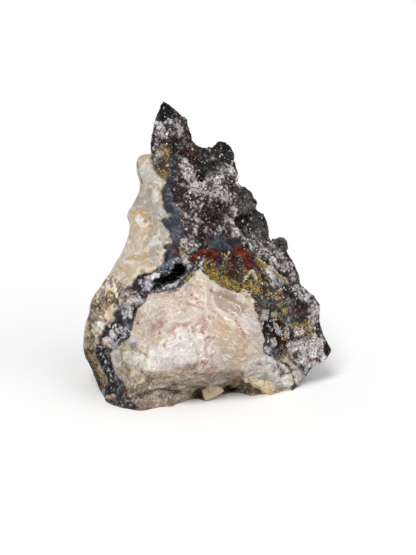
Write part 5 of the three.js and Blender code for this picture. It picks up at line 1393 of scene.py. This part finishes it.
def sample(count, weight):
    """Random points on the skin, as many per area as the weight says: triangle and corner weights."""
    w = weight[tri].mean(1) * tarea
    pick = rng.choice(len(tri), size=count, p=w / w.sum())
    u, v = rng.random(count), rng.random(count)
    flip = u + v > 1
    u[flip], v[flip] = 1 - u[flip], 1 - v[flip]
    return pick, np.stack([1 - u - v, u, v], -1)


def at(values, pick, bary):
    if values.ndim == 1:
        return (values[tri[pick]] * bary).sum(1)
    return (values[tri[pick]] * bary[:, :, None]).sum(1)


def spaced(p, gap):
    """Keeps one point in each cell of a grid of that size."""
    key = np.floor(p / gap).astype(np.int64)
    key = key[:, 0] * 73856093 ^ key[:, 1] * 19349663 ^ key[:, 2] * 83492791
    _, first = np.unique(key, return_index=True)
    return np.sort(first)


def unit(v):
    return v / np.maximum(np.linalg.norm(v, axis=1, keepdims=True), 1e-9)


def frames(axis):
    """Two directions square to each axis, spun at random."""
    ref = np.where(np.abs(axis[:, 2:3]) < 0.9, np.array([[0, 0, 1.0]]), np.array([[1.0, 0, 0]]))
    a = unit(np.cross(axis, ref))
    b = np.cross(axis, a)
    t = rng.random(len(axis))[:, None] * 2 * math.pi
    return a * np.cos(t) + b * np.sin(t), -a * np.sin(t) + b * np.cos(t)


def crystal_shape(kind):
    """Vertices (k,3) with z along the crystal, and triangles. Each is closed."""
    if kind == "hex":
        a = np.arange(6) * math.pi / 3
        ring = np.stack([np.cos(a), np.sin(a)], -1)
        v = np.concatenate([np.c_[ring * 0.85, np.full(6, -0.7)], np.c_[ring, np.full(6, 0.55)], [[0, 0, 1.45]]])
        f = [[i, (i + 1) % 6, 6 + (i + 1) % 6] for i in range(6)] + [[i, 6 + (i + 1) % 6, 6 + i] for i in range(6)]
        f += [[6 + i, 6 + (i + 1) % 6, 12] for i in range(6)] + [[0, i + 1, i] for i in range(1, 5)]
        return v, np.array(f)
    if kind == "grain":
        v = np.array([[1, 0, 0], [0, 1, 0], [-1, 0, 0], [0, -1, 0], [0, 0, 1.0], [0, 0, -0.8]], float)
        f = [[0, 1, 4], [1, 2, 4], [2, 3, 4], [3, 0, 4], [1, 0, 5], [2, 1, 5], [3, 2, 5], [0, 3, 5]]
        return v, np.array(f)
    # a cleavage chip: slanted block
    v = np.array([[-1, -0.7, -0.5], [1, -0.7, -0.5], [1, 0.7, -0.5], [-1, 0.7, -0.5],
                  [-0.75, -0.6, 0.55], [1.15, -0.5, 0.4], [0.9, 0.75, 0.6], [-0.9, 0.6, 0.35]], float)
    f = [[0, 2, 1], [0, 3, 2], [4, 5, 6], [4, 6, 7], [0, 1, 5], [0, 5, 4], [1, 2, 6], [1, 6, 5], [2, 3, 7], [2, 7, 6], [3, 0, 4], [3, 4, 7]]
    return v, np.array(f)


def stand(name, kind, p, n, colour, size, spread, long, sink, material, jitter=0.18, size_by=None):
    """One joined mesh of crystals standing at given points. size and long are ranges, mm and times the half width."""
    axis = unit(n + spread * rng.normal(size=(len(p), 3)))
    s = size[0] + (size[1] - size[0]) * rng.random(len(p)) ** 2
    if size_by is not None:
        s = s * size_by
    lg = long[0] + (long[1] - long[0]) * rng.random(len(p))
    pos = p - n * (s * lg * sink)[:, None]
    pos[:, 2] = np.maximum(pos[:, 2], 0.35 * s)
    v, f = crystal_shape(kind)
    k = len(v)
    a, b = frames(axis)
    wob = 1 + jitter * (rng.random((len(p), k, 3)) * 2 - 1)
    loc = v[None] * wob * s[:, None, None]
    loc[:, :, 2] *= lg[:, None]
    co = pos[:, None] + loc[:, :, 0:1] * a[:, None] + loc[:, :, 1:2] * b[:, None] + loc[:, :, 2:3] * axis[:, None]
    co = co.reshape(-1, 3)
    co[:, 2] = np.maximum(co[:, 2], 0.0)
    faces = (f[None] + (np.arange(len(p)) * k)[:, None, None]).reshape(-1, 3)
    m = mesh_from(name, co / 1000, faces)
    m.shade_flat()
    put_colour(m, "tint", np.repeat(np.clip(colour, 0, 0.95), k, 0))
    m.materials.append(material)
    o = bpy.data.objects.new(name, m)
    bpy.context.scene.collection.objects.link(o)
    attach(o, "root")
    print(name, len(p), "crystals", len(faces), "triangles")
    return o


def crystals(name, kind, count, weight, gap, size, spread, long, sink, colour_of, material, jitter=0.18, size_by=None, most=None):
    """Crystals scattered over the skin, as many per area as the weight says."""
    pick, bary = sample(count, weight)
    p = at(P, pick, bary)
    keep = spaced(p, gap)
    if most is not None and len(keep) > most:
        keep = np.sort(rng.permutation(keep)[:most])
    pick, bary, p = pick[keep], bary[keep], p[keep]
    n = at(N, pick, bary)
    firm = np.linalg.norm(n, axis=1) > 0.85
    pick, bary, p, n = pick[firm], bary[firm], p[firm], unit(n[firm])
    return stand(name, kind, p, n, colour_of(pick, bary, p), size, spread, long, sink, material, jitter,
                 None if size_by is None else at(size_by, pick, bary))


# =====================================================================================
# Materials
# =====================================================================================
class Tree:
    def __init__(self, name):
        self.m = bpy.data.materials.new(name)
        self.m.use_nodes = True
        self.t = self.m.node_tree
        self.t.nodes.clear()
        self.x = 0

    def add(self, kind, inputs=None, **props):
        n = self.t.nodes.new(kind)
        n.location = (self.x, 0)
        self.x += 180
        for k, v in props.items():
            setattr(n, k, v)
        for k, v in (inputs or {}).items():
            s = n.inputs[k]
            if isinstance(v, bpy.types.NodeSocket):
                self.t.links.new(v, s)
            else:
                s.default_value = v
        return n

    def coords(self):
        return self.add("ShaderNodeTexCoord").outputs["Object"]

    def stretch(self, vec, sx, sy, sz):
        return self.add("ShaderNodeVectorMath", {0: vec, 1: (sx, sy, sz)}, operation="MULTIPLY").outputs[0]

    def turn(self, vec, degrees):
        return self.add("ShaderNodeVectorRotate", {"Vector": vec, "Angle": math.radians(degrees)}, rotation_type="Y_AXIS").outputs[0]

    def noise(self, vec, size_mm, detail=2.0, rough=0.5, seed=0.0):
        off = self.add("ShaderNodeVectorMath", {0: vec, 1: (seed, seed * 0.7, -seed)}, operation="ADD")
        return self.add("ShaderNodeTexNoise", {"Vector": off.outputs[0], "Scale": 1000.0 / size_mm, "Detail": detail, "Roughness": rough}).outputs["Fac"]

    def cells(self, vec, size_mm, feature="F1", metric="EUCLIDEAN"):
        return self.add("ShaderNodeTexVoronoi", {"Vector": vec, "Scale": 1000.0 / size_mm}, feature=feature, distance=metric)

    def ramp(self, value, lo, hi, out_lo=0.0, out_hi=1.0):
        return self.add("ShaderNodeMapRange", {"Value": value, "From Min": lo, "From Max": hi, "To Min": out_lo, "To Max": out_hi}).outputs["Result"]

    def math(self, op, a, b=0.0):
        return self.add("ShaderNodeMath", {0: a, 1: b}, operation=op).outputs[0]

    def grey(self, v):
        return self.add("ShaderNodeCombineColor", {0: v, 1: v, 2: v}).outputs[0]

    def mix(self, fac, a, b, blend="MIX"):
        n = self.add("ShaderNodeMix", data_type="RGBA", blend_type=blend)
        for s, v in ((n.inputs["Factor"], fac), (n.inputs[6], a), (n.inputs[7], b)):
            if isinstance(v, bpy.types.NodeSocket):
                self.t.links.new(v, s)
            else:
                s.default_value = v if not isinstance(v, tuple) or len(v) == 4 else (*v, 1)
        return n.outputs[2]

    def attr(self, name):
        return self.add("ShaderNodeAttribute", attribute_name=name)


def skin_material():
    t = Tree("rock_skin")
    co = t.coords()
    tint_c = t.attr("tint").outputs["Color"]
    dark = t.attr("dark").outputs["Fac"]
    rough_a = t.attr("rough").outputs["Fac"]
    yellow_a = t.attr("yellow").outputs["Fac"]
    flow_a = t.attr("flow").outputs["Fac"]
    column_a = t.attr("column").outputs["Fac"]
    broken_a = t.attr("broken").outputs["Fac"]
    slab_a = t.attr("slabs").outputs["Fac"]
    frost_a = t.attr("frost").outputs["Fac"]
    speck_a = t.attr("speck").outputs["Fac"]
    warp = t.add("ShaderNodeTexNoise", {"Vector": co, "Scale": 500.0, "Detail": 2.0}).outputs["Color"]
    warped = t.add("ShaderNodeVectorMath", {0: warp, 1: (0.0007, 0.0007, 0.0007), 2: co}, operation="MULTIPLY_ADD").outputs[0]
    fine = t.noise(co, 0.40, 3.0, 0.6, 0.001)
    mid = t.noise(co, 1.2, 3.0, 0.55, 0.013)
    # cleavage cells, each a little lighter or darker
    c1 = t.cells(t.stretch(warped, 0.7, 1.0, 1.0), 1.5)
    c2 = t.cells(t.stretch(warped, 1.0, 0.8, 0.7), 0.7)
    v1 = t.add("ShaderNodeSeparateColor", {0: c1.outputs["Color"]}).outputs[0]
    v2 = t.add("ShaderNodeSeparateColor", {0: c2.outputs["Color"]}).outputs[1]
    cell = t.math("ADD", t.ramp(v1, 0, 1, -0.13, 0.13), t.ramp(v2, 0, 1, -0.10, 0.10))
    cell = t.math("MULTIPLY", cell, t.math("ADD", rough_a, t.math("MULTIPLY", broken_a, 1.3)))
    grain = t.math("MULTIPLY", t.ramp(fine, 0.3, 0.7, -0.30, 0.30), t.ramp(dark, 0, 1, 0.16, 1.0))
    blot = t.ramp(mid, 0.3, 0.7, -0.07, 0.06)
    total = t.math("ADD", t.math("ADD", 1.0, cell), t.math("ADD", grain, blot))
    base = t.mix(1.0, tint_c, t.grey(total), "MULTIPLY")
    # thin pale lines along cleavage edges of the rough stone
    e1 = t.cells(t.stretch(warped, 0.7, 1.0, 1.0), 1.5, "DISTANCE_TO_EDGE").outputs["Distance"]
    line = t.math("MULTIPLY", t.ramp(e1, 0.02, 0.08, 0.55, 0.0), t.math("MULTIPLY", rough_a, t.ramp(mid, 0.42, 0.58, 0.0, 1.0)))
    base = t.mix(line, base, (0.80, 0.76, 0.70, 1))
    # fibres of the chunk: white strokes one way, pink and fawn strokes another
    sway = t.add("ShaderNodeTexNoise", {"Vector": co, "Scale": 190.0, "Detail": 1.0}).outputs["Color"]
    bent = t.add("ShaderNodeVectorMath", {0: sway, 1: (0.007, 0.007, 0.007), 2: co}, operation="MULTIPLY_ADD").outputs[0]
    fibre = t.noise(t.stretch(t.turn(bent, 40), 0.34, 0.7, 1.35), 1.0, 3.0, 0.6, 0.031)
    fibre2 = t.noise(t.stretch(t.turn(bent, -10), 0.34, 0.7, 1.3), 1.3, 3.0, 0.6, 0.053)
    base = t.mix(t.math("MULTIPLY", t.ramp(fibre2, 0.54, 0.64, 0.0, 0.45), flow_a), base, (0.56, 0.42, 0.35, 1))
    base = t.mix(t.math("MULTIPLY", t.ramp(fibre, 0.52, 0.60, 0.0, 0.70), flow_a), base, (0.82, 0.78, 0.74, 1))
    fibre3 = t.noise(t.stretch(t.turn(bent, -40), 0.32, 0.7, 1.45), 1.0, 3.0, 0.6, 0.061)
    fibre4 = t.noise(t.stretch(t.turn(bent, -55), 0.34, 0.7, 1.3), 1.4, 3.0, 0.6, 0.067)
    base = t.mix(t.math("MULTIPLY", t.ramp(fibre4, 0.54, 0.64, 0.0, 0.38), slab_a), base, (0.46, 0.32, 0.23, 1))
    base = t.mix(t.math("MULTIPLY", t.ramp(fibre3, 0.56, 0.62, 0.0, 0.62), slab_a), base, (0.82, 0.77, 0.71, 1))
    # strokes of the pale column: milky and golden, nearly level
    stroke = t.noise(t.stretch(t.turn(bent, 24), 0.34, 0.6, 1.2), 1.6, 3.0, 0.55, 0.071)
    stroke2 = t.noise(t.stretch(t.turn(bent, 14), 0.30, 0.6, 1.5), 1.3, 3.0, 0.55, 0.083)
    base = t.mix(t.math("MULTIPLY", t.ramp(stroke, 0.53, 0.63, 0.0, 0.5), column_a), base, (0.80, 0.76, 0.69, 1))
    base = t.mix(t.math("MULTIPLY", t.ramp(stroke2, 0.57, 0.67, 0.0, 0.5), column_a), base, (0.48, 0.33, 0.17, 1))
    # frosted quartz: white clouds against grey and fawn
    cloud = t.noise(warped, 2.6, 4.0, 0.6, 0.091)
    base = t.mix(t.math("MULTIPLY", t.ramp(cloud, 0.46, 0.52, 0.75, 0.0), frost_a), base, (0.37, 0.32, 0.26, 1))
    base = t.mix(t.math("MULTIPLY", t.ramp(cloud, 0.53, 0.58, 0.0, 0.7), frost_a), base, (0.58, 0.56, 0.53, 1))
    # a fine meal of light and dark grains in the vein, the mottle and the crust
    g1 = t.add("ShaderNodeSeparateColor", {0: t.cells(warped, 0.42, metric="CHEBYCHEV").outputs["Color"]})
    g2 = t.add("ShaderNodeSeparateColor", {0: t.cells(warped, 0.75, metric="CHEBYCHEV").outputs["Color"]})
    pickv = t.math("ADD", t.math("MULTIPLY", g1.outputs[0], 0.55), t.math("MULTIPLY", g2.outputs[1], 0.45))
    lum = t.add("ShaderNodeRGBToBW", {0: tint_c}).outputs[0]
    pale_g = t.math("GREATER_THAN", pickv, t.ramp(lum, 0.0, 0.45, 0.90, 0.50))
    dark_g = t.math("LESS_THAN", pickv, t.ramp(lum, 0.0, 0.6, 0.42, 0.20))
    pale_c = t.mix(0.45, t.mix(1.0, tint_c, (2.0, 2.0, 2.0, 1), "MULTIPLY"), (0.50, 0.47, 0.47, 1))
    base = t.mix(t.math("MULTIPLY", pale_g, t.math("MULTIPLY", speck_a, 0.62)), base, pale_c)
    base = t.mix(t.math("MULTIPLY", dark_g, t.math("MULTIPLY", speck_a, 0.62)), base, t.mix(1.0, tint_c, (0.28, 0.22, 0.22, 1), "MULTIPLY"))
    # yellow iron-oxide grains
    yn = t.noise(co, 0.9, 3.0, 0.65, 0.047)
    gate = t.math("MULTIPLY", t.math("GREATER_THAN", yellow_a, 0.02), t.math("GREATER_THAN", t.math("ADD", yn, t.ramp(yellow_a, 0, 1, -0.20, 0.12)), 0.5))
    ycol = t.mix(t.ramp(fine, 0.35, 0.65, 0.0, 1.0), (0.08, 0.05, 0.01, 1), (0.38, 0.26, 0.06, 1))
    base = t.mix(gate, base, ycol)
    rough = t.math("MINIMUM", t.math("ADD", t.ramp(mid, 0.3, 0.7, 0.30, 0.55), t.math("MULTIPLY", t.attr("matte").outputs["Fac"], 0.5)), 1.0)
    bump_h = t.math("ADD", t.math("MULTIPLY", fine, 0.5), t.math("MULTIPLY", c2.outputs["Distance"], 0.8))
    bump_h = t.math("ADD", bump_h, t.math("MULTIPLY", fibre, t.math("MULTIPLY", flow_a, 3.0)))
    strength = t.math("MAXIMUM", t.ramp(rough_a, 0, 1, 0.08, 0.4), t.ramp(dark, 0, 1, 0.0, 0.5))
    bump = t.add("ShaderNodeBump", {"Height": bump_h, "Strength": strength, "Distance": 0.0002})
    b = t.add("ShaderNodeBsdfPrincipled", {"Base Color": base, "Roughness": rough, "Normal": bump.outputs[0]})
    b.inputs["Subsurface Weight"].default_value = 0.15
    b.inputs["Subsurface Radius"].default_value = (1.0, 0.8, 0.6)
    b.inputs["Subsurface Scale"].default_value = 0.0006
    b.inputs["Specular IOR Level"].default_value = 0.16
    b.inputs["IOR"].default_value = 1.54
    t.add("ShaderNodeOutputMaterial", {0: b.outputs[0]})
    return t.m


def crystal_material(name, rough_lo, rough_hi, transmission=0.0, grain=0.25, spec=0.5):
    t = Tree(name)
    co = t.coords()
    tint_c = t.attr("tint").outputs["Color"]
    fine = t.noise(co, 0.4, 2.0, 0.6, 0.005)
    base = t.mix(1.0, tint_c, t.grey(t.ramp(fine, 0.3, 0.7, 1 - grain, 1 + grain)), "MULTIPLY")
    rough = t.ramp(t.noise(co, 0.8, 2.0, 0.5, 0.02), 0.35, 0.65, rough_lo, rough_hi)
    b = t.add("ShaderNodeBsdfPrincipled", {"Base Color": base, "Roughness": rough})
    b.inputs["Transmission Weight"].default_value = transmission
    b.inputs["IOR"].default_value = 1.54
    b.inputs["Specular IOR Level"].default_value = spec
    t.add("ShaderNodeOutputMaterial", {0: b.outputs[0]})
    return t.m


skin.materials.clear()
skin.materials.append(skin_material())
M_GLASSY = crystal_material("quartz_glassy", 0.08, 0.25, 0.15, 0.25, 0.22)
M_SUGAR = crystal_material("quartz_sugar", 0.2, 0.45, 0.0, 0.25, 0.15)
M_SMOKY = crystal_material("quartz_smoky", 0.05, 0.15, 0.0, 0.3, 0.2)
M_STONE = crystal_material("calcite_chip", 0.22, 0.5, 0.0, 0.10, 0.3)
M_FACE = crystal_material("cleavage_face", 0.12, 0.3, 0.0, 0.05, 0.35)
M_OCHRE = crystal_material("ochre_grain", 0.5, 0.8, 0.0, 0.35, 0.3)
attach(rock, "root")
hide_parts("quartz_rock")


def block(name, poly, front, back, rgb, material, shrink=0.12):
    """A cleavage block: an outline on the sheet, its front depth at each corner and how far it goes in (mm)."""
    poly = np.asarray(poly, float).reshape(-1, 2)
    k = len(poly)
    mid = poly.mean(0)
    face = poly + (mid - poly) * shrink
    y0 = np.asarray(front, float) * np.ones(k)
    v = np.concatenate([place(face[:, 0], face[:, 1], y0), place(poly[:, 0], poly[:, 1], y0 + 0.5), place(poly[:, 0], poly[:, 1], y0 + back)])
    v[:, 2] = np.maximum(v[:, 2], 0.0)
    cap = place(mid[None, 0], mid[None, 1], np.array([y0.mean()]))
    tail = place(mid[None, 0], mid[None, 1], np.array([y0.mean() + back]))
    v = np.concatenate([v, cap, tail])
    f = []
    for i in range(k):
        j = (i + 1) % k
        f += [[3 * k, i, j], [i, k + i, k + j], [i, k + j, j], [k + i, 2 * k + i, 2 * k + j], [k + i, 2 * k + j, k + j], [3 * k + 1, 2 * k + j, 2 * k + i]]
    f = np.array(f)
    # outward whichever way round the outline was drawn
    vol = np.einsum("ij,ij->i", v[f[:, 0]], np.cross(v[f[:, 1]], v[f[:, 2]])).sum()
    if vol < 0:
        f = f[:, ::-1]
    m = mesh_from(name, v / 1000, f)
    m.shade_flat()
    shade = 1 + 0.08 * (rng.random(len(v)) - 0.5)
    put_colour(m, "tint", lin(*rgb)[None] * shade[:, None])
    m.materials.append(material)
    o = bpy.data.objects.new(name, m)
    bpy.context.scene.collection.objects.link(o)
    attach(o, "root")
    return o


def brightness(c):
    """Perceived lightness 0 to 1 of linear colours."""
    return np.clip(c @ np.array([0.2126, 0.7152, 0.0722]), 0, 1) ** (1 / 2.2)


def druse_colours(pick, bary, p, small=1.0):
    """Mostly the grain's own ground, with some lighter and some darker than it, and a few painted near white as glints:
    painted highlights.
    """
    k = len(p)
    local = at(tint, pick, bary)
    r = rng.random(k)
    c = local * (0.65 + 0.8 * rng.random((k, 1)))
    lit = brightness(local)
    c = np.where((r < 0.04 + 0.20 * lit)[:, None], 0.55 * local + 0.45 * lin(208, 200, 198), c)
    c = np.where((r > 0.83)[:, None], 0.35 * local + 0.65 * lin(36, 22, 21), c)
    # painted highlights: a few grains made near white to stand in for glints, fewer where the ground is dark
    c = np.where((r < 0.024 * small * (0.12 + 0.88 * (lit > 0.25)))[:, None], lin(238, 238, 240), c)
    return np.clip(c, 0, 0.95)


def local_colours(spread_lo, spread_hi, white=0.0, white_rgb=(206, 202, 200)):
    def f(pick, bary, p):
        c = at(tint, pick, bary) * (spread_lo + (spread_hi - spread_lo) * rng.random((len(p), 1)))
        w = rng.random(len(p)) < white
        return np.clip(np.where(w[:, None], lin(*white_rgb) * (0.7 + 0.3 * rng.random((len(p), 1))), c), 0, 0.95)
    return f


quiet = np.clip(red + blue + 0.92 * region([256,288, 272,284, 300,300, 308,318, 290,330, 262,320], 3) + 0.85 * region([256,258, 262,260, 276,270, 290,280, 288,290, 270,288, 262,276], 1.5)
                + 0.75 * region([262,318, 284,318, 288,346, 264,344], 2) + 0.7 * region([291,320, 314,322, 315,340, 292,338], 2) + 0.9 * region([262,343, 272,343, 284,356, 280,362, 264,356], 1.5)
                + 0.95 * region([190,250, 262,246, 264,292, 204,292], 2), 0, 1)
dr = np.clip(crust - quiet, 0, 1) * (1 - vug)
smoky = glassy + BACKNESS * crust * spots(fbm(P, 12, 2, 131), 0.15, 0.1)
tip = region([157,98, 178,100, 179,114, 168,118, 163,123, 155,118], 1.5)
olive = region([155,146, 170,145, 174,156, 172,178, 160,180, 152,166], 2)
front_dr = dr * FRONTAL * (1 - 0.85 * smoky) * (1 - 0.88 * tip) * (1 - 0.6 * olive) + 1e-9
facing = smoothstep(0.12, 0.6, np.abs((N * unit_rows(EYE - P)).sum(1)))
size_map = (0.8 + 0.45 * spots(fbm(P, 3.0, 2, 147), 0.0, 0.25)) * (0.3 + 0.7 * facing)
crystals("druse_fine", "grain", 80000, front_dr, 0.44, (0.16, 0.38), 0.5, (0.7, 1.3), 0.2, druse_colours, M_SUGAR, 0.3, size_by=size_map, most=24000)
crystals("druse_hex", "hex", 18000, front_dr, 0.85, (0.2, 0.5), 0.4, (0.8, 1.3), 0.25, lambda a, b, c: druse_colours(a, b, c, 0.15), M_GLASSY, 0.1, size_by=size_map, most=6500)
back_dr = dr * BACKNESS * smoothstep(0.35, 0.85, crust) + 1e-9
crystals("druse_back", "grain", 40000, back_dr, 0.75, (0.3, 0.6), 0.5, (0.8, 1.4), 0.15, druse_colours, M_SUGAR, 0.3, size_by=0.45 + 0.55 * facing, most=24000)

def smoky_colours(pick, bary, p):
    k = len(p)
    c = np.array([lin(30, 28, 27), lin(20, 19, 20), lin(54, 50, 47), lin(12, 11, 12), lin(84, 78, 72), lin(24, 22, 22)])[rng.integers(0, 6, k)]
    return 0.6 * c + 0.4 * at(tint, pick, bary) * (0.5 + 0.6 * rng.random((k, 1)))


crystals("smoky_hex", "hex", 9000, smoky * (1 - 0.9 * tip) * smoothstep(0.45, 0.85, crust) + 1e-9, 1.2, (0.35, 0.8), 0.4, (0.6, 1.0), 0.45, smoky_colours, M_SMOKY, 0.1, size_by=0.4 + 0.6 * facing, most=3500)
ps = rough * (1 - vug) * (0.25 + 0.75 * smoothstep(-0.1, 0.3, n2)) * (1 - 0.5 * underside) * (1 - 0.93 * chunk * FRONTAL) * (1 - 0.92 * column) * (1 - flank) * (1 - 0.75 * mottle)
crystals("quartz_chips", "chip", 16000, ps ** 2 * (1 - np.clip(3 * band, 0, 1)) + 1e-9, 1.4, (0.35, 0.9), 0.13, (0.14, 0.3), 0.5, local_colours(0.95, 1.3), M_STONE, 0.25, most=3600)
vn = np.clip(0.8 * darkvein + 0.5 * vein + 0.12 * band + quiet * crust * (1 - red) * 0.35, 0, 1) * (1 - vug) * FRONTAL + region([148,282, 150,270, 166,262, 178,256, 190,258, 190,268, 180,284, 168,290, 154,292], 1.5) * (1 - vug) * FRONTAL
crystals("vein_grains", "grain", 24000, vn + 1e-9, 0.6, (0.15, 0.34), 0.5, (0.7, 1.2), 0.25, local_colours(0.5, 1.7, 0.006), M_SUGAR, 0.3, most=9000)


def ochre_colours(pick, bary, p):
    o = np.array([lin(206, 166, 54), lin(182, 144, 42), lin(212, 182, 92), lin(136, 106, 38), lin(206, 192, 152), lin(52, 44, 32)])
    return o[rng.integers(0, 6, len(p))] * (0.30 + 0.55 * rng.random((len(p), 1)))


def snow_colours(pick, bary, p):
    return lin(218, 213, 212) * (0.45 + 0.55 * rng.random((len(p), 1)))


crystals("snow_grains", "grain", 9000, snow ** 2 + 1e-9, 0.42, (0.16, 0.34), 0.5, (0.7, 1.2), 0.2, snow_colours, M_SUGAR, 0.3, most=4000)
crystals("gold_grains", "grain", 4000, gold ** 2 + 1e-9, 0.42, (0.16, 0.36), 0.5, (0.7, 1.2), 0.2, ochre_colours, M_OCHRE, 0.3, most=1800)
# grains at the drawn spots and along the drawn seams, each where it is drawn
SX, SY = sheet_of(P)
FACE_ON = (N * unit_rows(EYE - P)).sum(1) > 0.1
front_ids = np.nonzero(FACE_ON)[0]
tree2 = kdtree.KDTree(len(front_ids))
for i, v in enumerate(front_ids):
    tree2.insert((SX[v], SY[v], 0.0), i)
tree2.balance()


def on_skin(xy):
    """Skin point and normal behind each sheet position: of the nearest vertices, the one nearest the eye."""
    p, n, near = np.zeros((len(xy), 3)), np.zeros((len(xy), 3)), np.zeros((len(xy), 3))
    for i, (x, y) in enumerate(xy):
        hits = tree2.find_n((x, y, 0.0), 4)
        if hits[0][2] > 0.7:
            x, y = hits[0][0][0], hits[0][0][1]
        ids = front_ids[[hit[1] for hit in hits]]
        v = ids[np.argmin(P[ids, 1])]
        p[i] = place(np.array([x]), np.array([y]), P[v:v + 1, 1] - SHIFT[1])[0]
        n[i], near[i] = N[v], tint[v]
    return p, n, near


def drawn_spots(text, lines):
    """Sheet positions and colours of grains for every round spot (and thin line) of a table of marks."""
    xy, rgb = [], []
    for line in text.strip().splitlines():
        head, pts = line.split("|")
        kind, colour, alpha, soft, lift = head.split()
        pts = np.array([float(v) for v in pts.replace(",", " ").split()]).reshape(-1, 2)
        colour = lin(*[float(v) for v in colour.split(",")])
        soft = float(soft)
        if kind == "D":
            k = max(3, int(3.2 * soft ** 2))
            r = soft * 0.75 * np.sqrt(rng.random((len(pts), k)))
            a = rng.random((len(pts), k)) * 2 * math.pi
            q = pts[:, None] + np.stack([r * np.cos(a), r * np.sin(a)], -1)
            q = q.reshape(-1, 2)
        elif kind == "L" and lines and soft <= 1.0:
            q = []
            for a, b in zip(pts[:-1], pts[1:]):
                k = max(2, int(np.hypot(*(b - a)) / 0.30))
                q.append(a + (b - a) * rng.random((k, 1)))
            q = np.concatenate(q)
            q = q + rng.normal(size=q.shape) * 0.30
        else:
            continue
        xy.append(q)
        rgb.append(colour[None] * ((0.6 if kind == "D" else 0.4) + 0.5 * rng.random((len(q), 1))))
    return np.concatenate(xy), np.concatenate(rgb)


for name, text, lines, stuff in (("spots_crust", MARKS_CRUST, True, M_SUGAR), ("spots_vein", MARKS_VEINS, True, M_SUGAR),
                                 ("spots_vug", MARKS_VUG, False, M_SUGAR), ("spots_stone", MARKS_STONE, False, M_OCHRE)):
    xy, rgb = drawn_spots(text, lines)
    p, n, near = on_skin(xy)
    if name == "spots_stone":
        rgb = 0.5 * rgb + 0.5 * near
    stand(name, "grain", p, n, rgb, (0.12, 0.27), 0.5, (0.7, 1.2), 0.15, stuff, 0.3)
crystals("ochre_grains", "grain", 14000, yellow * (0.4 + 0.6 * spots(n3, 0.0, 0.15)) + 1e-9, 0.48, (0.15, 0.34), 0.6, (0.7, 1.2), 0.2, ochre_colours, M_OCHRE, 0.3, most=5000)

NUB = [201.5,390, 208,386, 216,385, 222,387.5, 224,391, 218,395.5, 210,399.5, 205,401.3, 203,396]
nub_y = depth_at_base(np.array([205.0]), np.array([401.0]))[0]
nub_xy = np.array(NUB, float).reshape(-1, 2)
block("nub", NUB, nub_y - 1.0 + 0.035 * (nub_xy[:, 0] - 201) + 0.045 * (401 - nub_xy[:, 1]), 8.0, (176, 158, 134), M_STONE)


def flake(name, poly, rgb, proud=0.35, tilt=(0.0, 0.0), back=2.5, material=None):
    """A cleavage face set on the skin: the outline on the sheet, laid on the plane of the skin there."""
    xy = np.asarray(poly, float).reshape(-1, 2)
    got = FACE_ON & (inside_distance(SX, SY, xy) > -1.0)
    x, y, d = SX[got], SY[got], P[got, 1] - SHIFT[1]
    near = d < np.median(d) + 2.5
    a = np.c_[x[near], y[near], np.ones(near.sum())]
    k = np.linalg.lstsq(a, d[near], rcond=None)[0]
    k = k + np.array([tilt[0], tilt[1], -(tilt[0] * xy[:, 0].mean() + tilt[1] * xy[:, 1].mean())])
    block(name, poly, np.c_[xy, np.ones(len(xy))] @ k - proud, back, rgb, material or M_FACE, 0.10)


flake("flake_fawn", [131,371, 138,370, 142,374, 146,381, 140,384, 134,382, 130,376], (190, 172, 148))
flake("flake_cream1", [249,380, 254,378, 259,379, 257,384, 253,384], (214, 192, 162), 0.12, (0.02, 0.03))
flake("flake_cream2", [259,379, 264,380, 264,386, 260,387, 256,384], (222, 208, 188), 0.15, (-0.02, 0.03))
flake("flake_cream3", [265,380, 270,381, 274,387, 271,390, 265,387], (216, 194, 166), 0.15, (-0.03, 0.0))
flake("flake_cream4", [258,387, 265,388, 272,391, 273,394, 268,395, 262,391], (210, 182, 142), 0.12, (-0.01, -0.03))

# =====================================================================================
# Studio
# =====================================================================================
cam_data = bpy.data.cameras.new("camera")
cam_data.sensor_width = 36
cam_data.lens = 36 * EYE_D / (555 * UNIT)
cam_data.clip_start = 0.01
cam_data.clip_end = 20
cam = bpy.data.objects.new("camera", cam_data)
cam.location = Vector(EYE / 1000)
cam.rotation_euler = (math.pi / 2 - ELEV, 0, 0)
bpy.context.scene.collection.objects.link(cam)
bpy.context.scene.camera = cam

floor_mesh = bpy.data.meshes.new("floor")
floor_mesh.from_pydata([(-6, -6, 0), (6, -6, 0), (6, 6, 0), (-6, 6, 0)], [], [(0, 1, 2, 3)])
floor = bpy.data.objects.new("floor", floor_mesh)
fm = bpy.data.materials.new("floor")
fm.use_nodes = True
fm.node_tree.nodes["Principled BSDF"].inputs["Base Color"].default_value = (0.97, 0.97, 0.97, 1)
fm.node_tree.nodes["Principled BSDF"].inputs["Roughness"].default_value = 0.9
fm.node_tree.nodes["Principled BSDF"].inputs["Specular IOR Level"].default_value = 0.1
floor.data.materials.append(fm)
bpy.context.scene.collection.objects.link(floor)

world = bpy.data.worlds.new("world")
world.use_nodes = True
world.node_tree.nodes["Background"].inputs[0].default_value = (1, 1, 1, 1)
world.node_tree.nodes["Background"].inputs[1].default_value = 0.40
bpy.context.scene.world = world
bpy.context.scene.view_settings.view_transform = "Standard"


def sun(name, way, strength, angle):
    d = bpy.data.lights.new(name, "SUN")
    d.energy = strength
    d.angle = math.radians(angle)
    o = bpy.data.objects.new(name, d)
    o.rotation_euler = Vector(way).to_track_quat("-Z", "Y").to_euler()
    bpy.context.scene.collection.objects.link(o)
    return o


sun("key", (0.22, 0.75, -0.85), 2.1, 24)
sun("fill", (-0.6, 0.6, -0.6), 0.85, 50)
